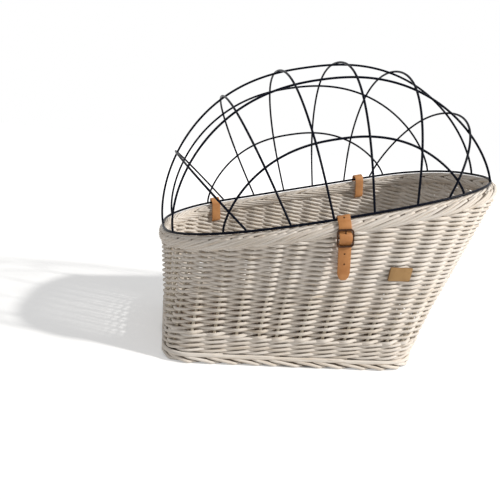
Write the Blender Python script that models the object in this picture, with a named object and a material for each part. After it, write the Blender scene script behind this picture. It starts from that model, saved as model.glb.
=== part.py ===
"""Bicycle basket for a small dog: a willow body with a hinged wire cage lid.

The origin is the middle of the flat underside. +X points to the rear of the
bicycle, where the rim is highest, and -Y is the side with the strap.
Everything is in metres. The rim lies in a plane that rises to the rear, and
places on it are given as (u, y, w): along the slope, across, and square to it.
"""
import math

import bmesh
import bpy
import numpy as np
from mathutils import Vector

# Running clearance between touching pieces
GAP = 0.0003
WELD_GAP = 0.0004

# Lid ring and the plane of the rim
RING_LENGTH = 0.600
RING_NEAR = 0.212
RING_FAR = 0.180
RING_RADIUS = 0.0022
RIM_HEIGHT = 0.265
RIM_OFFSET = 0.056
RIM_TILT = math.radians(14)
NEAR_POWER = 2.5
FAR_POWER = 2.7
FAR_FLATNESS = 24

# Cage wires
WIRE_RADIUS = 0.0015
CENTRE_WIRE_HEIGHT = 0.238
UPPER_WIRE_HEIGHT = 0.210
LOWER_WIRE_HEIGHT = 0.117
UPPER_WIRE_END_SHARES = (-0.943, 0.897)
LOWER_WIRE_END_SHARES = (-0.683, 0.623)
CENTRE_POWERS = (2.4, 1.65)
UPPER_POWERS = (2.27, 1.6)
LOWER_POWERS = (2.35, 1.35)
HOOP_BASE_SHARES = (-0.570, -0.347, -0.125, 0.090, 0.330, 0.527)
HOOP_TOP_SHARES = (-0.843, -0.523, -0.177, 0.180, 0.520, 0.853)

# Willow body
BORDER_WIDTH = 0.020
BORDER_DEPTH = 0.024
BASE_LENGTH = 0.446
BASE_WIDTH = 0.330
FRONT_CORNER = 0.045
REAR_CORNER = 0.080
BOTTOM_THICKNESS = 0.0105
BOTTOM_STICKS = 9
BOTTOM_DIP = 0.003
LINE_SPACING = 0.0015
FOOT_HEIGHT = 0.018
FOOT_WIDTH = 0.019
FOOT_PROFILE_SHARES = ((-1, 0), (0.6, 0), (1, 0.25), (1, 0.75), (0.6, 1), (-1, 1))
WALING_HEIGHT = 0.032
WALING_WIDTH = 0.016
WALL = 0.0125
WALL_BETWEEN = 0.0065
STAKES = 36
STAKE_RADIUS = 0.0026
STAKE_FIT = 0.0003
STAKE_PHASE_SHARE = 0.35

# Leather hinge loops on the far side
LEATHER = 0.0025
LOOP_WIDTH = 0.0175
LOOP_SLACK = 0.0055
LOOP_DROP = 0.038
LOOP_CORNER = 0.005
LOOP_FIT = 0.0010
LOOP_SHARES = (-0.631, 0.435)

# Leather strap, its buckle and the tongue behind it on the near side
STRAP_WIDTH = 0.020
STRAP_LENGTH = 0.095
STRAP_SHARE = -0.078
STRAP_FIT = 0.0008
STRAP_CLEARANCE = 0.0006
STRAP_HOOK_DEGREES = (150, 66)
STRAP_SHOULDER_DEGREES = (62, 45, 30, 16)
STRAP_BULGE_SHARES = ((0.7, 0.42), (1, 0.1), (1, -0.1), (0.7, -0.42))
STRAP_FALL_SHARES = (0.2, 0.4, 0.6, 0.8, 1.0)
STRAP_DRAW_IN = 0.0048
STRAP_LEAN = math.radians(7.4)
STRAP_LEAN_DROPS = (0.008, 0.016)
TIP_LENGTH = 0.014
TIP_NARROWING_SHARE = 0.85
HOLE_RADIUS = 0.0014
HOLE_DROPS = (0.0560, 0.0715)
BUCKLE_WIDTH = 0.0270
BUCKLE_HEIGHT = 0.0285
BUCKLE_DROP = 0.0278
BUCKLE_BAR = 0.0015
CENTRE_BAR = 0.00135
BUCKLE_CORNER = 0.004
PRONG_RADIUS = 0.0008
TONGUE_WIDTH = 0.012
TONGUE_ASIDE = 0.0032
TONGUE_DROP = 0.033
TONGUE_LENGTH = 0.026
TONGUE_THICKNESS = 0.002
TONGUE_BEND_SHARE = 0.3
TONGUE_FIT = 0.0005

# Leather badge on the near side
BADGE_WIDTH = 0.0405
BADGE_HEIGHT = 0.024
BADGE_THICKNESS = 0.002
BADGE_SHARE = 0.375
BADGE_RISE_SHARE = 0.642
BADGE_STANDOFF = 0.0006

# Mesh fineness
COLUMNS = 2 * STAKES
OUTLINE_STEPS = 64
BORDER_SIDES = 10
RING_SIDES = 8
WIRE_SIDES = 6
WIRE_STEPS = 28
HOOP_PASSES = 3
ROD_SIDES = 8
HOLE_SIDES = 10
CORNER_STEPS = 3
LOOP_STEPS = 12
HOOK_STEPS = 4
FALL_STEPS = 8
DENSE_STEPS = 720
SHARP_ANGLE = math.radians(40)

# Sizes that follow from the ones above
HALF_LENGTH = RING_LENGTH / 2
AXIS_SHIFT = (RING_NEAR - RING_FAR) / 2
BORDER_TOP = -(RING_RADIUS + GAP)
BORDER_MIDDLE = BORDER_TOP - BORDER_DEPTH / 2
WALL_TOP = BORDER_TOP - BORDER_DEPTH - GAP
STAKE_FOOT = FOOT_HEIGHT + GAP
WALING_TOP = STAKE_FOOT + WALING_HEIGHT
WEAVE_FOOT = WALING_TOP + GAP
OVERRUN = WALL


def clear_scene():
    for obj in list(bpy.data.objects):
        bpy.data.objects.remove(obj, do_unlink=True)


def material(name, color, roughness, metallic=0.0):
    mat = bpy.data.materials.new(name)
    mat.use_nodes = True
    shader = mat.node_tree.nodes["Principled BSDF"]
    shader.inputs["Base Color"].default_value = (*color, 1.0)
    shader.inputs["Roughness"].default_value = roughness
    shader.inputs["Metallic"].default_value = metallic
    return mat


def add_object(name, verts, faces, look, smooth=True):
    """One closed mesh object with its faces pointing out and its own material."""
    mesh = bpy.data.meshes.new(name)
    mesh.from_pydata([tuple(v) for v in verts], [], faces)
    bm = bmesh.new()
    bm.from_mesh(mesh)
    bmesh.ops.recalc_face_normals(bm, faces=bm.faces)
    bm.to_mesh(mesh)
    bm.free()
    if smooth:
        mesh.shade_smooth()
        mesh.set_sharp_from_angle(angle=SHARP_ANGLE)
    obj = bpy.data.objects.new(name, mesh)
    bpy.context.scene.collection.objects.link(obj)
    if look:
        mesh.materials.append(material(name, *look))
    return obj


def add_cutter(name, verts, faces):
    obj = add_object(name, verts, faces, None, smooth=False)
    obj.hide_render = True
    obj.display_type = "WIRE"
    return obj


def boolean(obj, tool, operation="DIFFERENCE"):
    mod = obj.modifiers.new(tool.name, "BOOLEAN")
    mod.operation = operation
    mod.solver = "EXACT"
    mod.object = tool


def band(name, rings, look):
    """Closed loops of points joined each to the next and the last to the first."""
    count = len(rings[0])
    verts = [p for ring in rings for p in ring]
    faces = []
    for r in range(len(rings)):
        s = (r + 1) % len(rings)
        for i in range(count):
            j = (i + 1) % count
            faces.append((r * count + i, r * count + j, s * count + j, s * count + i))
    return add_object(name, verts, faces, look)


def prism(rings):
    """Vertices and faces of a solid whose cross-sections are given in order."""
    count = len(rings[0])
    verts = [p for ring in rings for p in ring]
    faces = [tuple(range(count)), tuple((len(rings) - 1) * count + i for i in range(count))]
    for r in range(len(rings) - 1):
        s = r + 1
        for i in range(count):
            j = (i + 1) % count
            faces.append((r * count + i, r * count + j, s * count + j, s * count + i))
    return verts, faces


def tube_rings(points, radius, sides):
    """Circles square to a path, carried along it without twisting."""
    points = [Vector(p) for p in points]
    tangents = []
    for i in range(len(points)):
        before = points[max(i - 1, 0)]
        after = points[min(i + 1, len(points) - 1)]
        tangents.append((after - before).normalized())
    side = tangents[0].orthogonal().normalized()
    rings = []
    for point, tangent in zip(points, tangents):
        side = (side - tangent * side.dot(tangent)).normalized()
        up = tangent.cross(side)
        turns = [2 * math.pi * k / sides for k in range(sides)]
        rings.append([point + radius * (math.cos(a) * side + math.sin(a) * up) for a in turns])
    return rings


def cut_to_plane(ring, run, anchor, normal):
    """Slide each point of a rod's end along the rod until it lies in a plane."""
    return [p + run * ((anchor - p).dot(normal) / run.dot(normal)) for p in ring]


def rim_y(u, side):
    """Distance of the ring across the rim at u: bowed on the near side, flat on the far."""
    power = NEAR_POWER if side < 0 else FAR_POWER
    reach = max(0.0, 1 - abs(u / HALF_LENGTH) ** power) ** (1 / power)
    y = RING_NEAR * reach
    if side > 0 and reach > 0:
        y *= (1 + (y / RING_FAR) ** FAR_FLATNESS) ** (-1 / FAR_FLATNESS)
    return AXIS_SHIFT + side * y


def to_world(u, y, w):
    return Vector((
        RIM_OFFSET + u * math.cos(RIM_TILT) - w * math.sin(RIM_TILT),
        y,
        RIM_HEIGHT + u * math.sin(RIM_TILT) + w * math.cos(RIM_TILT),
    ))


def rim_normal():
    return Vector((-math.sin(RIM_TILT), 0, math.cos(RIM_TILT)))


def walk(points, shares):
    """Points at shares of the length of an open path."""
    points = np.array(points, float)
    steps = np.linalg.norm(np.diff(points, axis=0), axis=1)
    length = np.concatenate([[0.0], np.cumsum(steps)])
    where = np.array(shares) * length[-1]
    return np.stack([np.interp(where, length, points[:, k]) for k in range(points.shape[1])], 1)


def closed_walk(near_half, far_half, count, phase):
    """Even stations round an outline, halved at its front and rear ends."""
    shares = np.array([((k + phase) / count) % 1 for k in range(count)])
    near = walk(near_half, np.clip(shares * 2, 0, 1))
    far = walk(far_half, np.clip(shares * 2 - 1, 0, 1))
    return np.where((shares < 0.5)[:, None], near, far)


def rim_half(side):
    """The ring's outline in the rim plane, front end to rear end on one side."""
    angles = np.linspace(0, math.pi, DENSE_STEPS)
    return [(-HALF_LENGTH * math.cos(a), rim_y(-HALF_LENGTH * math.cos(a), side)) for a in angles]


def base_half(side):
    """Half the outer outline of the base, front end to rear end on one side."""
    reach, half = BASE_LENGTH / 2, BASE_WIDTH / 2
    path = [(-reach, 0.0)]
    corners = ((-1, FRONT_CORNER, math.pi), (1, REAR_CORNER, math.pi / 2))
    for end, radius, start in corners:
        for k in range(DENSE_STEPS // 8 + 1):
            a = start - math.pi / 2 * k / (DENSE_STEPS // 8)
            x = end * (reach - radius) + radius * math.cos(a)
            path.append((x, side * (half - radius + radius * math.sin(a))))
    path.append((reach, 0.0))
    return path


def outward(stations):
    """Unit normals of a closed outline that point away from its middle."""
    ahead = np.roll(stations, -1, axis=0) - np.roll(stations, 1, axis=0)
    normals = np.stack([ahead[:, 1], -ahead[:, 0]], 1)
    normals /= np.linalg.norm(normals, axis=1)[:, None]
    middle = stations.mean(axis=0)
    flip = np.sign(((stations - middle) * normals).sum(axis=1))
    return normals * flip[:, None]


def outlines(count, phase):
    """Matching stations on the rim and on the base, both with their normals."""
    rim = closed_walk(rim_half(-1), rim_half(1)[::-1], count, phase)
    base = closed_walk(base_half(-1), base_half(1)[::-1], count, phase)
    base_out = outward(base)
    base = base - base_out * (FOOT_WIDTH / 2)
    return rim, outward(rim), base, base_out


def wall_ring(stations, height, offset, on_rim_plane):
    """A loop of points in the wall, offset from its middle surface.

    The wall is ruled by straight stakes from the base to the underside of the
    border. The loop lies at one height, or in a plane parallel to the rim. The
    offset is one length, or one for each station.
    """
    rim, rim_out, base, base_out = stations
    offsets = np.broadcast_to(offset, len(rim))
    loop = []
    for p, n, q, m, aside in zip(rim, rim_out, base, base_out, offsets):
        top = to_world(p[0], p[1], WALL_TOP)
        foot = Vector((q[0], q[1], STAKE_FOOT))
        top_out = to_world(p[0] + n[0], p[1] + n[1], WALL_TOP) - top
        share = 1.0 if on_rim_plane else (height - foot.z) / (top.z - foot.z)
        point = foot.lerp(top, share)
        out = Vector((m[0], m[1], 0)).lerp(top_out, share)
        out.z *= share
        shifted = point + out.normalized() * float(aside)
        if not on_rim_plane:
            shifted.z = height
        loop.append(shifted)
    return loop


def stake_ends(stations):
    rim, _, base, _ = stations
    ends = []
    for p, q in zip(rim, base):
        ends.append((Vector((q[0], q[1], STAKE_FOOT)), to_world(p[0], p[1], WALL_TOP)))
    return ends


def willow(shade):
    return ((0.80 * shade, 0.73 * shade, 0.60 * shade), 0.75)


def build_base():
    _, _, base, base_out = outlines(COLUMNS, STAKE_PHASE_SHARE * 2)
    half = FOOT_WIDTH / 2
    rings = []
    for across, rise in FOOT_PROFILE_SHARES:
        edge = base + base_out * half * across
        rings.append([(x, y, FOOT_HEIGHT * rise) for x, y in edge])
    band("foot_border", rings, willow(1.0))

    build_bottom(base - base_out * (half + GAP))


def reach_at(outline, y):
    """Lowest and highest x where a line across the outline at y meets it."""
    meets = []
    for p, q in zip(outline, np.roll(outline, -1, axis=0)):
        if (p[1] - y) * (q[1] - y) <= 0 and p[1] != q[1]:
            meets.append(p[0] + (q[0] - p[0]) * (y - p[1]) / (q[1] - p[1]))
    return min(meets), max(meets)


def build_bottom(outline):
    """The woven bottom: it rises over each lengthwise stick and dips between them."""
    low, high = outline[:, 1].min(), outline[:, 1].max()
    ribs = np.linspace(low, high, 2 * BOTTOM_STICKS - 1)
    tops = [BOTTOM_THICKNESS - BOTTOM_DIP * (k % 2) for k in range(len(ribs))]
    lines = list(ribs)
    for y in outline[:, 1]:
        if min(abs(y - line) for line in lines) > LINE_SPACING:
            lines.append(y)
    sections = []
    for y in sorted(lines):
        front, rear = reach_at(outline, y)
        top = np.interp(y, ribs, tops)
        sections.append([(front, y, 0.0), (rear, y, 0.0), (rear, y, top), (front, y, top)])
    verts, faces = prism(sections)
    add_object("bottom_panel", verts, faces, willow(0.92))


def stake_holes():
    """One cutter for every stake's channel through the waling and the weave."""
    verts, faces = [], []
    for foot, top in stake_ends(outlines(STAKES, STAKE_PHASE_SHARE)):
        run = (top - foot).normalized() * OVERRUN
        rings = tube_rings([foot - run, top + run], STAKE_RADIUS + STAKE_FIT, ROD_SIDES)
        tube_verts, tube_faces = prism(rings)
        faces += [tuple(i + len(verts) for i in face) for face in tube_faces]
        verts += tube_verts
    return add_cutter("stake_holes", verts, faces)


def build_wall():
    stations = outlines(COLUMNS, STAKE_PHASE_SHARE * 2)
    holes = stake_holes()
    half = WALING_WIDTH / 2
    waling = band("waling", [
        wall_ring(stations, STAKE_FOOT, half, False),
        wall_ring(stations, WALING_TOP, half, False),
        wall_ring(stations, WALING_TOP, -half, False),
        wall_ring(stations, STAKE_FOOT, -half, False),
    ], willow(0.98))
    boolean(waling, holes)
    half = np.array([WALL / 2, WALL_BETWEEN / 2] * STAKES)
    weave = band("side_weave", [
        wall_ring(stations, WEAVE_FOOT, half, False),
        wall_ring(stations, 0.0, half, True),
        wall_ring(stations, 0.0, -half, True),
        wall_ring(stations, WEAVE_FOOT, -half, False),
    ], willow(0.95))
    boolean(weave, holes)
    floor = Vector((0, 0, 1))
    for number, (foot, top) in enumerate(stake_ends(outlines(STAKES, STAKE_PHASE_SHARE)), 1):
        run = (top - foot).normalized()
        low, high = tube_rings([foot, top], STAKE_RADIUS, ROD_SIDES)
        low = cut_to_plane(low, run, foot, floor)
        high = cut_to_plane(high, run, top, rim_normal())
        verts, faces = prism([low, high])
        add_object(f"stake_{number:02d}", verts, faces, willow(0.90))
    return weave


def rim_tube(name, half_width, half_depth, middle, sides, look):
    """A closed tube that follows the ring's outline in the rim plane."""
    rim, rim_out, _, _ = outlines(OUTLINE_STEPS, 0.0)
    rings = []
    for k in range(sides):
        a = 2 * math.pi * (k + 0.5) / sides
        aside = half_width * math.cos(a)
        rise = middle + half_depth * math.sin(a)
        edge = rim + rim_out * aside
        rings.append([to_world(u, y, rise) for u, y in edge])
    return band(name, rings, look)


def long_wire(end_shares, height, powers, side):
    """Points of a lengthwise wire in (u, y, w): an arch standing on the ring."""
    front, rear = (share * HALF_LENGTH for share in end_shares)
    start = AXIS_SHIFT if side == 0 else rim_y(front, side)
    end = AXIS_SHIFT if side == 0 else rim_y(rear, side)
    foot = RING_RADIUS + WELD_GAP
    points = []
    for k in range(WIRE_STEPS + 1):
        a = math.pi * k / WIRE_STEPS
        run = -math.copysign(abs(math.cos(a)) ** (2 / powers[0]), math.cos(a))
        rise = abs(math.sin(a)) ** (2 / powers[1])
        share = (run + 1) / 2
        points.append((front + (rear - front) * share, start + (end - start) * share,
                       foot + (height - foot) * rise))
    return points


def crossing(path, anchor, normal):
    """Where a path of points meets a plane, and its direction there."""
    for p, q in zip(path, path[1:]):
        a = (Vector(p) - anchor).dot(normal)
        b = (Vector(q) - anchor).dot(normal)
        if a * b <= 0 and a != b:
            return Vector(p).lerp(Vector(q), a / (a - b)), (Vector(q) - Vector(p)).normalized()
    raise ValueError("the hoop misses a lengthwise wire")


def spline(knots, steps):
    """A natural cubic curve through the knots, spaced by their distances."""
    knots = np.array([tuple(k) for k in knots])
    gaps = np.linalg.norm(np.diff(knots, axis=0), axis=1)
    where = np.concatenate([[0.0], np.cumsum(gaps)])
    count = len(knots)
    system = np.eye(count)
    right = np.zeros_like(knots)
    for i in range(1, count - 1):
        system[i, i - 1:i + 2] = (gaps[i - 1], 2 * (gaps[i - 1] + gaps[i]), gaps[i])
        right[i] = 6 * ((knots[i + 1] - knots[i]) / gaps[i] - (knots[i] - knots[i - 1]) / gaps[i - 1])
    bend = np.linalg.solve(system, right)
    points = []
    for s in np.linspace(0, where[-1], steps + 1):
        i = min(int(np.searchsorted(where, s, side="right")) - 1, count - 2)
        h, a, b = gaps[i], where[i + 1] - s, s - where[i]
        points.append((bend[i] * a ** 3 + bend[i + 1] * b ** 3) / (6 * h)
                      + (knots[i] / h - bend[i] * h / 6) * a
                      + (knots[i + 1] / h - bend[i + 1] * h / 6) * b)
    return points


def hoop(base_share, top_share, wires):
    """Points of a crosswise hoop that passes outside every lengthwise wire."""
    base_u = base_share * HALF_LENGTH
    foot = RING_RADIUS + WELD_GAP
    near = Vector((base_u, rim_y(base_u, -1), foot))
    far = Vector((base_u, rim_y(base_u, 1), foot))
    centre = wires["centre"]
    top_u = top_share * HALF_LENGTH
    rise = np.interp(top_u, [p[0] for p in centre], [p[2] for p in centre])
    normal = (far - near).cross(Vector((top_u, AXIS_SHIFT, rise)) - near).normalized()
    meets = []
    for key in ("lower_near", "upper_near", "centre", "upper_far", "lower_far"):
        meets.append(crossing(wires[key], near, normal))
    path = [near] + [point for point, _ in meets] + [far]
    for _ in range(HOOP_PASSES):
        knots = [near]
        for point, direction in meets:
            nearest = min(range(1, len(path) - 1), key=lambda i: (Vector(path[i]) - point).length)
            across = Vector(path[nearest + 1]) - Vector(path[nearest - 1])
            out = direction.cross(across).normalized()
            if out.dot(point - Vector((top_u / 2, AXIS_SHIFT, 0))) < 0:
                out = -out
            knots.append(point + out * (2 * WIRE_RADIUS + WELD_GAP))
        knots.append(far)
        path = spline(knots, WIRE_STEPS * HOOP_PASSES)
    return spline(knots, WIRE_STEPS)


def add_wire(name, path, look):
    """A cage wire whose two feet are cut flat where they stand on the ring."""
    points = [to_world(*p) for p in path]
    rings = tube_rings(points, WIRE_RADIUS, WIRE_SIDES)
    for end, nearer in ((0, 1), (-1, -2)):
        run = points[nearer] - points[end]
        rings[end] = cut_to_plane(rings[end], run, points[end], rim_normal())
    verts, faces = prism(rings)
    return add_object(name, verts, faces, look)


def build_cage(axis_empty):
    enamel = ((0.012, 0.013, 0.018), 0.30)
    pieces = [rim_tube("lid_ring", RING_RADIUS, RING_RADIUS, 0.0, RING_SIDES, enamel)]
    wires = {
        "centre": long_wire((-1, 1), CENTRE_WIRE_HEIGHT, CENTRE_POWERS, 0),
        "upper_near": long_wire(UPPER_WIRE_END_SHARES, UPPER_WIRE_HEIGHT, UPPER_POWERS, -1),
        "upper_far": long_wire(UPPER_WIRE_END_SHARES, UPPER_WIRE_HEIGHT, UPPER_POWERS, 1),
        "lower_near": long_wire(LOWER_WIRE_END_SHARES, LOWER_WIRE_HEIGHT, LOWER_POWERS, -1),
        "lower_far": long_wire(LOWER_WIRE_END_SHARES, LOWER_WIRE_HEIGHT, LOWER_POWERS, 1),
    }
    for key, path in wires.items():
        pieces.append(add_wire(f"long_wire_{key}", path, enamel))
    for number, shares in enumerate(zip(HOOP_BASE_SHARES, HOOP_TOP_SHARES), 1):
        pieces.append(add_wire(f"hoop_{number}", hoop(*shares, wires), enamel))
    for piece in pieces:
        hang(piece, axis_empty)


def hang(piece, empty):
    """Parent a piece to an empty on its joint's axis, leaving it in place."""
    piece.parent = empty
    piece.matrix_parent_inverse = empty.matrix_world.inverted()


def add_empty(name, place):
    empty = bpy.data.objects.new(name, None)
    bpy.context.scene.collection.objects.link(empty)
    empty.location = place
    bpy.context.view_layer.update()
    return empty


class Station:
    """A place on the ring: along the rim, outward from it, and square to it."""

    def __init__(self, share, side):
        u = share * HALF_LENGTH
        step = RING_RADIUS
        self.origin = to_world(u, rim_y(u, side), 0)
        ahead = to_world(u + step, rim_y(u + step, side), 0)
        back = to_world(u - step, rim_y(u - step, side), 0)
        self.along = (ahead - back).normalized()
        self.up = rim_normal()
        self.out = self.along.cross(self.up).normalized()
        if self.out.y * side < 0:
            self.out = -self.out

    def at(self, along, out, up):
        return self.origin + self.along * along + self.out * out + self.up * up


class StrapStation(Station):
    """The strap's place on the ring. Its up runs along the strap, which leans to the front."""

    def __init__(self):
        super().__init__(STRAP_SHARE, -1)

    def at(self, along, out, up):
        start, end = STRAP_LEAN_DROPS
        turn = STRAP_LEAN * min(max((-up - start) / (end - start), 0.0), 1.0)
        across = along * math.cos(turn) + up * math.sin(STRAP_LEAN)
        rise = up * math.cos(STRAP_LEAN) - along * math.sin(turn)
        return super().at(across, out, rise)


def wall_lean(side):
    """How far the wall moves inward for each metre down from the rim."""
    top = to_world(0, rim_y(0, side), WALL_TOP)
    foot = BASE_WIDTH / 2 - FOOT_WIDTH / 2
    return (abs(top.y) - foot) / (top.z - STAKE_FOOT)


def offset_path(points, distance, closed):
    """A path in the (out, up) plane moved sideways, to its left where positive."""
    points = np.array(points, float)
    if closed:
        ahead = np.roll(points, -1, axis=0) - np.roll(points, 1, axis=0)
    else:
        ahead = np.gradient(points, axis=0)
    normals = np.stack([-ahead[:, 1], ahead[:, 0]], 1)
    normals /= np.linalg.norm(normals, axis=1)[:, None]
    return points + normals * distance


def arc(centre, radius, start, end, steps):
    """Points on an arc in the (out, up) plane, angles in degrees."""
    angles = [math.radians(start + (end - start) * k / steps) for k in range(steps + 1)]
    return [(centre[0] + radius * math.cos(a), centre[1] + radius * math.sin(a)) for a in angles]


def slot_cutter(name, station, width, low, high, aside=0.0):
    """A box through the wall at a station, between two heights below the ring."""
    reach = BORDER_WIDTH + WALL
    rings = []
    for along in (aside - width / 2, aside + width / 2):
        rings.append([station.at(along, out, up) for out, up in
                      ((-reach, low), (reach, low), (reach, high), (-reach, high))])
    verts, faces = prism(rings)
    return add_cutter(name, verts, faces)


def build_hinge_loops(weave):
    """Two leather loops round the border and the ring, through slots in the wall."""
    leather = ((0.62, 0.36, 0.17), 0.6)
    reach = BORDER_WIDTH / 2 + LOOP_FIT + LEATHER / 2
    arch_middle = RING_RADIUS + LOOP_SLACK - BORDER_WIDTH / 2 - LOOP_FIT
    corner = LOOP_CORNER - LEATHER / 2
    path = arc((0, arch_middle), reach, 0, 180, LOOP_STEPS)
    path += arc((-reach + corner, -LOOP_DROP + corner), corner, 180, 270, CORNER_STEPS)
    path += arc((reach - corner, -LOOP_DROP + corner), corner, 270, 360, CORNER_STEPS)
    for name, share in zip(("hinge_loop_front", "hinge_loop_rear"), LOOP_SHARES):
        station = Station(share, 1)
        rings = []
        for along, distance in ((-1, 1), (1, 1), (1, -1), (-1, -1)):
            edge = offset_path(path, distance * LEATHER / 2, closed=True)
            rings.append([station.at(along * LOOP_WIDTH / 2, o, w) for o, w in edge])
        band(name, rings, leather)
        low = -LOOP_DROP - LEATHER / 2 - LOOP_FIT
        high = -LOOP_DROP + LEATHER / 2 + LOOP_FIT
        cutter = slot_cutter(f"{name}_slot", station, LOOP_WIDTH + 2 * LOOP_FIT, low, high)
        boolean(weave, cutter)


def strap_face():
    """How far out the strap's middle hangs from the ring."""
    return BORDER_WIDTH / 2 + STRAP_CLEARANCE + LEATHER / 2


def strap_path():
    """The strap's middle line in (out, up): over the ring, under both buckle bars."""
    hook = RING_RADIUS + STRAP_FIT + LEATHER / 2
    face = strap_face()
    half_depth = BORDER_DEPTH / 2 + STRAP_CLEARANCE + LEATHER / 2
    shoulder = []
    for angle in STRAP_SHOULDER_DEGREES:
        a = math.radians(angle)
        shoulder.append((face * math.cos(a), BORDER_MIDDLE + half_depth * math.sin(a)))
    bar = BUCKLE_HEIGHT / 2 - BUCKLE_BAR
    bulge = 2 * (BUCKLE_BAR + GAP + LEATHER / 2)
    knots = arc((0, 0), hook, *STRAP_HOOK_DEGREES, HOOK_STEPS) + shoulder
    knots.append((face, -BUCKLE_DROP + bar + BUCKLE_BAR))
    knots.append((face, -BUCKLE_DROP + bar - BUCKLE_BAR))
    for bulge_share, bar_share in STRAP_BULGE_SHARES:
        knots.append((face + bulge * bulge_share, -BUCKLE_DROP + bar * bar_share))
    knots.append((face, -BUCKLE_DROP - bar + BUCKLE_BAR))
    fall_start = (face, -BUCKLE_DROP - bar - BUCKLE_BAR)
    fall = [(face, 0, fall_start[1])]
    for share in STRAP_FALL_SHARES:
        fall.append((face - STRAP_DRAW_IN * share ** 1.5, 0,
                     fall_start[1] + (-STRAP_LENGTH - fall_start[1]) * share))
    return knots + [(p[0], p[2]) for p in spline(fall, FALL_STEPS)]


def strap_half_width(up):
    """The strap narrows to a rounded tip."""
    into_tip = max(0.0, (-up - STRAP_LENGTH + TIP_LENGTH) / TIP_LENGTH)
    return STRAP_WIDTH / 2 * math.sqrt(max(0.0, 1 - TIP_NARROWING_SHARE * into_tip ** 2))


def buckle_out():
    """How far out the buckle's frame lies: against the strap's outer face."""
    return strap_face() + BUCKLE_BAR + GAP + LEATHER / 2


def rounded_rectangle(width, height, corner):
    """An outline round (0, 0) with round corners, as pairs."""
    outline = []
    for x, z, start in ((1, 1, 0), (-1, 1, 90), (-1, -1, 180), (1, -1, 270)):
        middle = (x * (width / 2 - corner), z * (height / 2 - corner))
        outline += arc(middle, corner, start, start + 90, CORNER_STEPS)
    return outline


def prong_ends(station):
    """The prong starts beside the centre bar and ends on top of the upper bar."""
    rest = BUCKLE_BAR + GAP + PRONG_RADIUS
    foot = station.at(0, buckle_out() - PRONG_RADIUS, -BUCKLE_DROP + rest)
    upper_bar = -BUCKLE_DROP + BUCKLE_HEIGHT / 2 - BUCKLE_BAR
    tip = station.at(0, buckle_out() + rest, upper_bar)
    return [foot, tip, station.at(0, buckle_out() + rest, upper_bar + BUCKLE_BAR)]


def build_strap(swing_empty):
    station = StrapStation()
    path = strap_path()
    inner = offset_path(path, -LEATHER / 2, closed=False)
    outer = offset_path(path, LEATHER / 2, closed=False)
    sections = []
    for a, b in zip(inner, outer):
        half = strap_half_width((a[1] + b[1]) / 2)
        sections.append([station.at(-half, *a), station.at(half, *a),
                         station.at(half, *b), station.at(-half, *b)])
    verts, faces = prism(sections)
    strap = add_object("strap", verts, faces, ((0.60, 0.35, 0.16), 0.6))

    foot, tip, _ = prong_ends(station)
    holes = [[foot, tip + (tip - foot).normalized() * BORDER_WIDTH]]
    for drop in HOLE_DROPS:
        holes.append([station.at(0, strap_face() + side * BORDER_WIDTH, -drop) for side in (-1, 1)])
    for number, ends in enumerate(holes, 1):
        verts, faces = prism(tube_rings(ends, HOLE_RADIUS, HOLE_SIDES))
        boolean(strap, add_cutter(f"strap_hole_{number}", verts, faces))
    hang(strap, swing_empty)


def build_buckle(swing_empty):
    """A bronze frame with a centre bar, and its prong."""
    bronze = ((0.10, 0.055, 0.03), 0.35, 0.9)
    station = StrapStation()
    width = BUCKLE_WIDTH - 2 * BUCKLE_BAR
    outline = rounded_rectangle(width, BUCKLE_HEIGHT - 2 * BUCKLE_BAR, BUCKLE_CORNER)
    rings = []
    for k in range(ROD_SIDES):
        a = 2 * math.pi * k / ROD_SIDES
        edge = offset_path(outline, BUCKLE_BAR * math.cos(a), closed=True)
        lift = buckle_out() + BUCKLE_BAR * math.sin(a)
        rings.append([station.at(x, lift, z - BUCKLE_DROP) for x, z in edge])
    frame = band("buckle_frame", rings, bronze)
    ends = [station.at(side * width / 2, buckle_out(), -BUCKLE_DROP) for side in (-1, 1)]
    verts, faces = prism(tube_rings(ends, CENTRE_BAR, ROD_SIDES))
    boolean(frame, add_cutter("buckle_centre_bar", verts, faces), "UNION")
    verts, faces = prism(tube_rings(prong_ends(station), PRONG_RADIUS, ROD_SIDES))
    prong = add_object("buckle_prong", verts, faces, bronze)
    for piece in (frame, prong):
        hang(piece, swing_empty)


def build_tongue(weave):
    """A leather tongue that comes through the wall and lies behind the strap."""
    station = StrapStation()
    lean = wall_lean(-1)
    reach = WALL / 2 + TONGUE_FIT + TONGUE_THICKNESS / 2

    def face(drop):
        return reach - (drop + WALL_TOP) * lean

    inside = -reach - TONGUE_THICKNESS
    low = TONGUE_DROP + TONGUE_LENGTH
    corner = TONGUE_THICKNESS
    bend = corner * TONGUE_BEND_SHARE
    path = [
        (inside, -TONGUE_DROP),
        (0, -TONGUE_DROP),
        (face(TONGUE_DROP) - corner, -TONGUE_DROP),
        (face(TONGUE_DROP) - bend, -TONGUE_DROP - bend),
        (face(TONGUE_DROP), -TONGUE_DROP - corner),
        (face((TONGUE_DROP + low) / 2), -(TONGUE_DROP + low) / 2),
        (face(low), -low),
    ]
    inner = offset_path(path, -TONGUE_THICKNESS / 2, closed=False)
    outer = offset_path(path, TONGUE_THICKNESS / 2, closed=False)
    left, right = TONGUE_ASIDE - TONGUE_WIDTH / 2, TONGUE_ASIDE + TONGUE_WIDTH / 2
    sections = []
    for a, b in zip(inner, outer):
        sections.append([station.at(left, *a), station.at(right, *a),
                         station.at(right, *b), station.at(left, *b)])
    verts, faces = prism(sections)
    add_object("strap_tongue", verts, faces, ((0.58, 0.33, 0.15), 0.65))
    low = -TONGUE_DROP - TONGUE_THICKNESS / 2 - TONGUE_FIT
    high = -TONGUE_DROP + TONGUE_THICKNESS / 2 + TONGUE_FIT
    width = TONGUE_WIDTH + 2 * TONGUE_FIT
    cutter = slot_cutter("strap_tongue_slot", station, width, low, high, TONGUE_ASIDE)
    boolean(weave, cutter)


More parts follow.
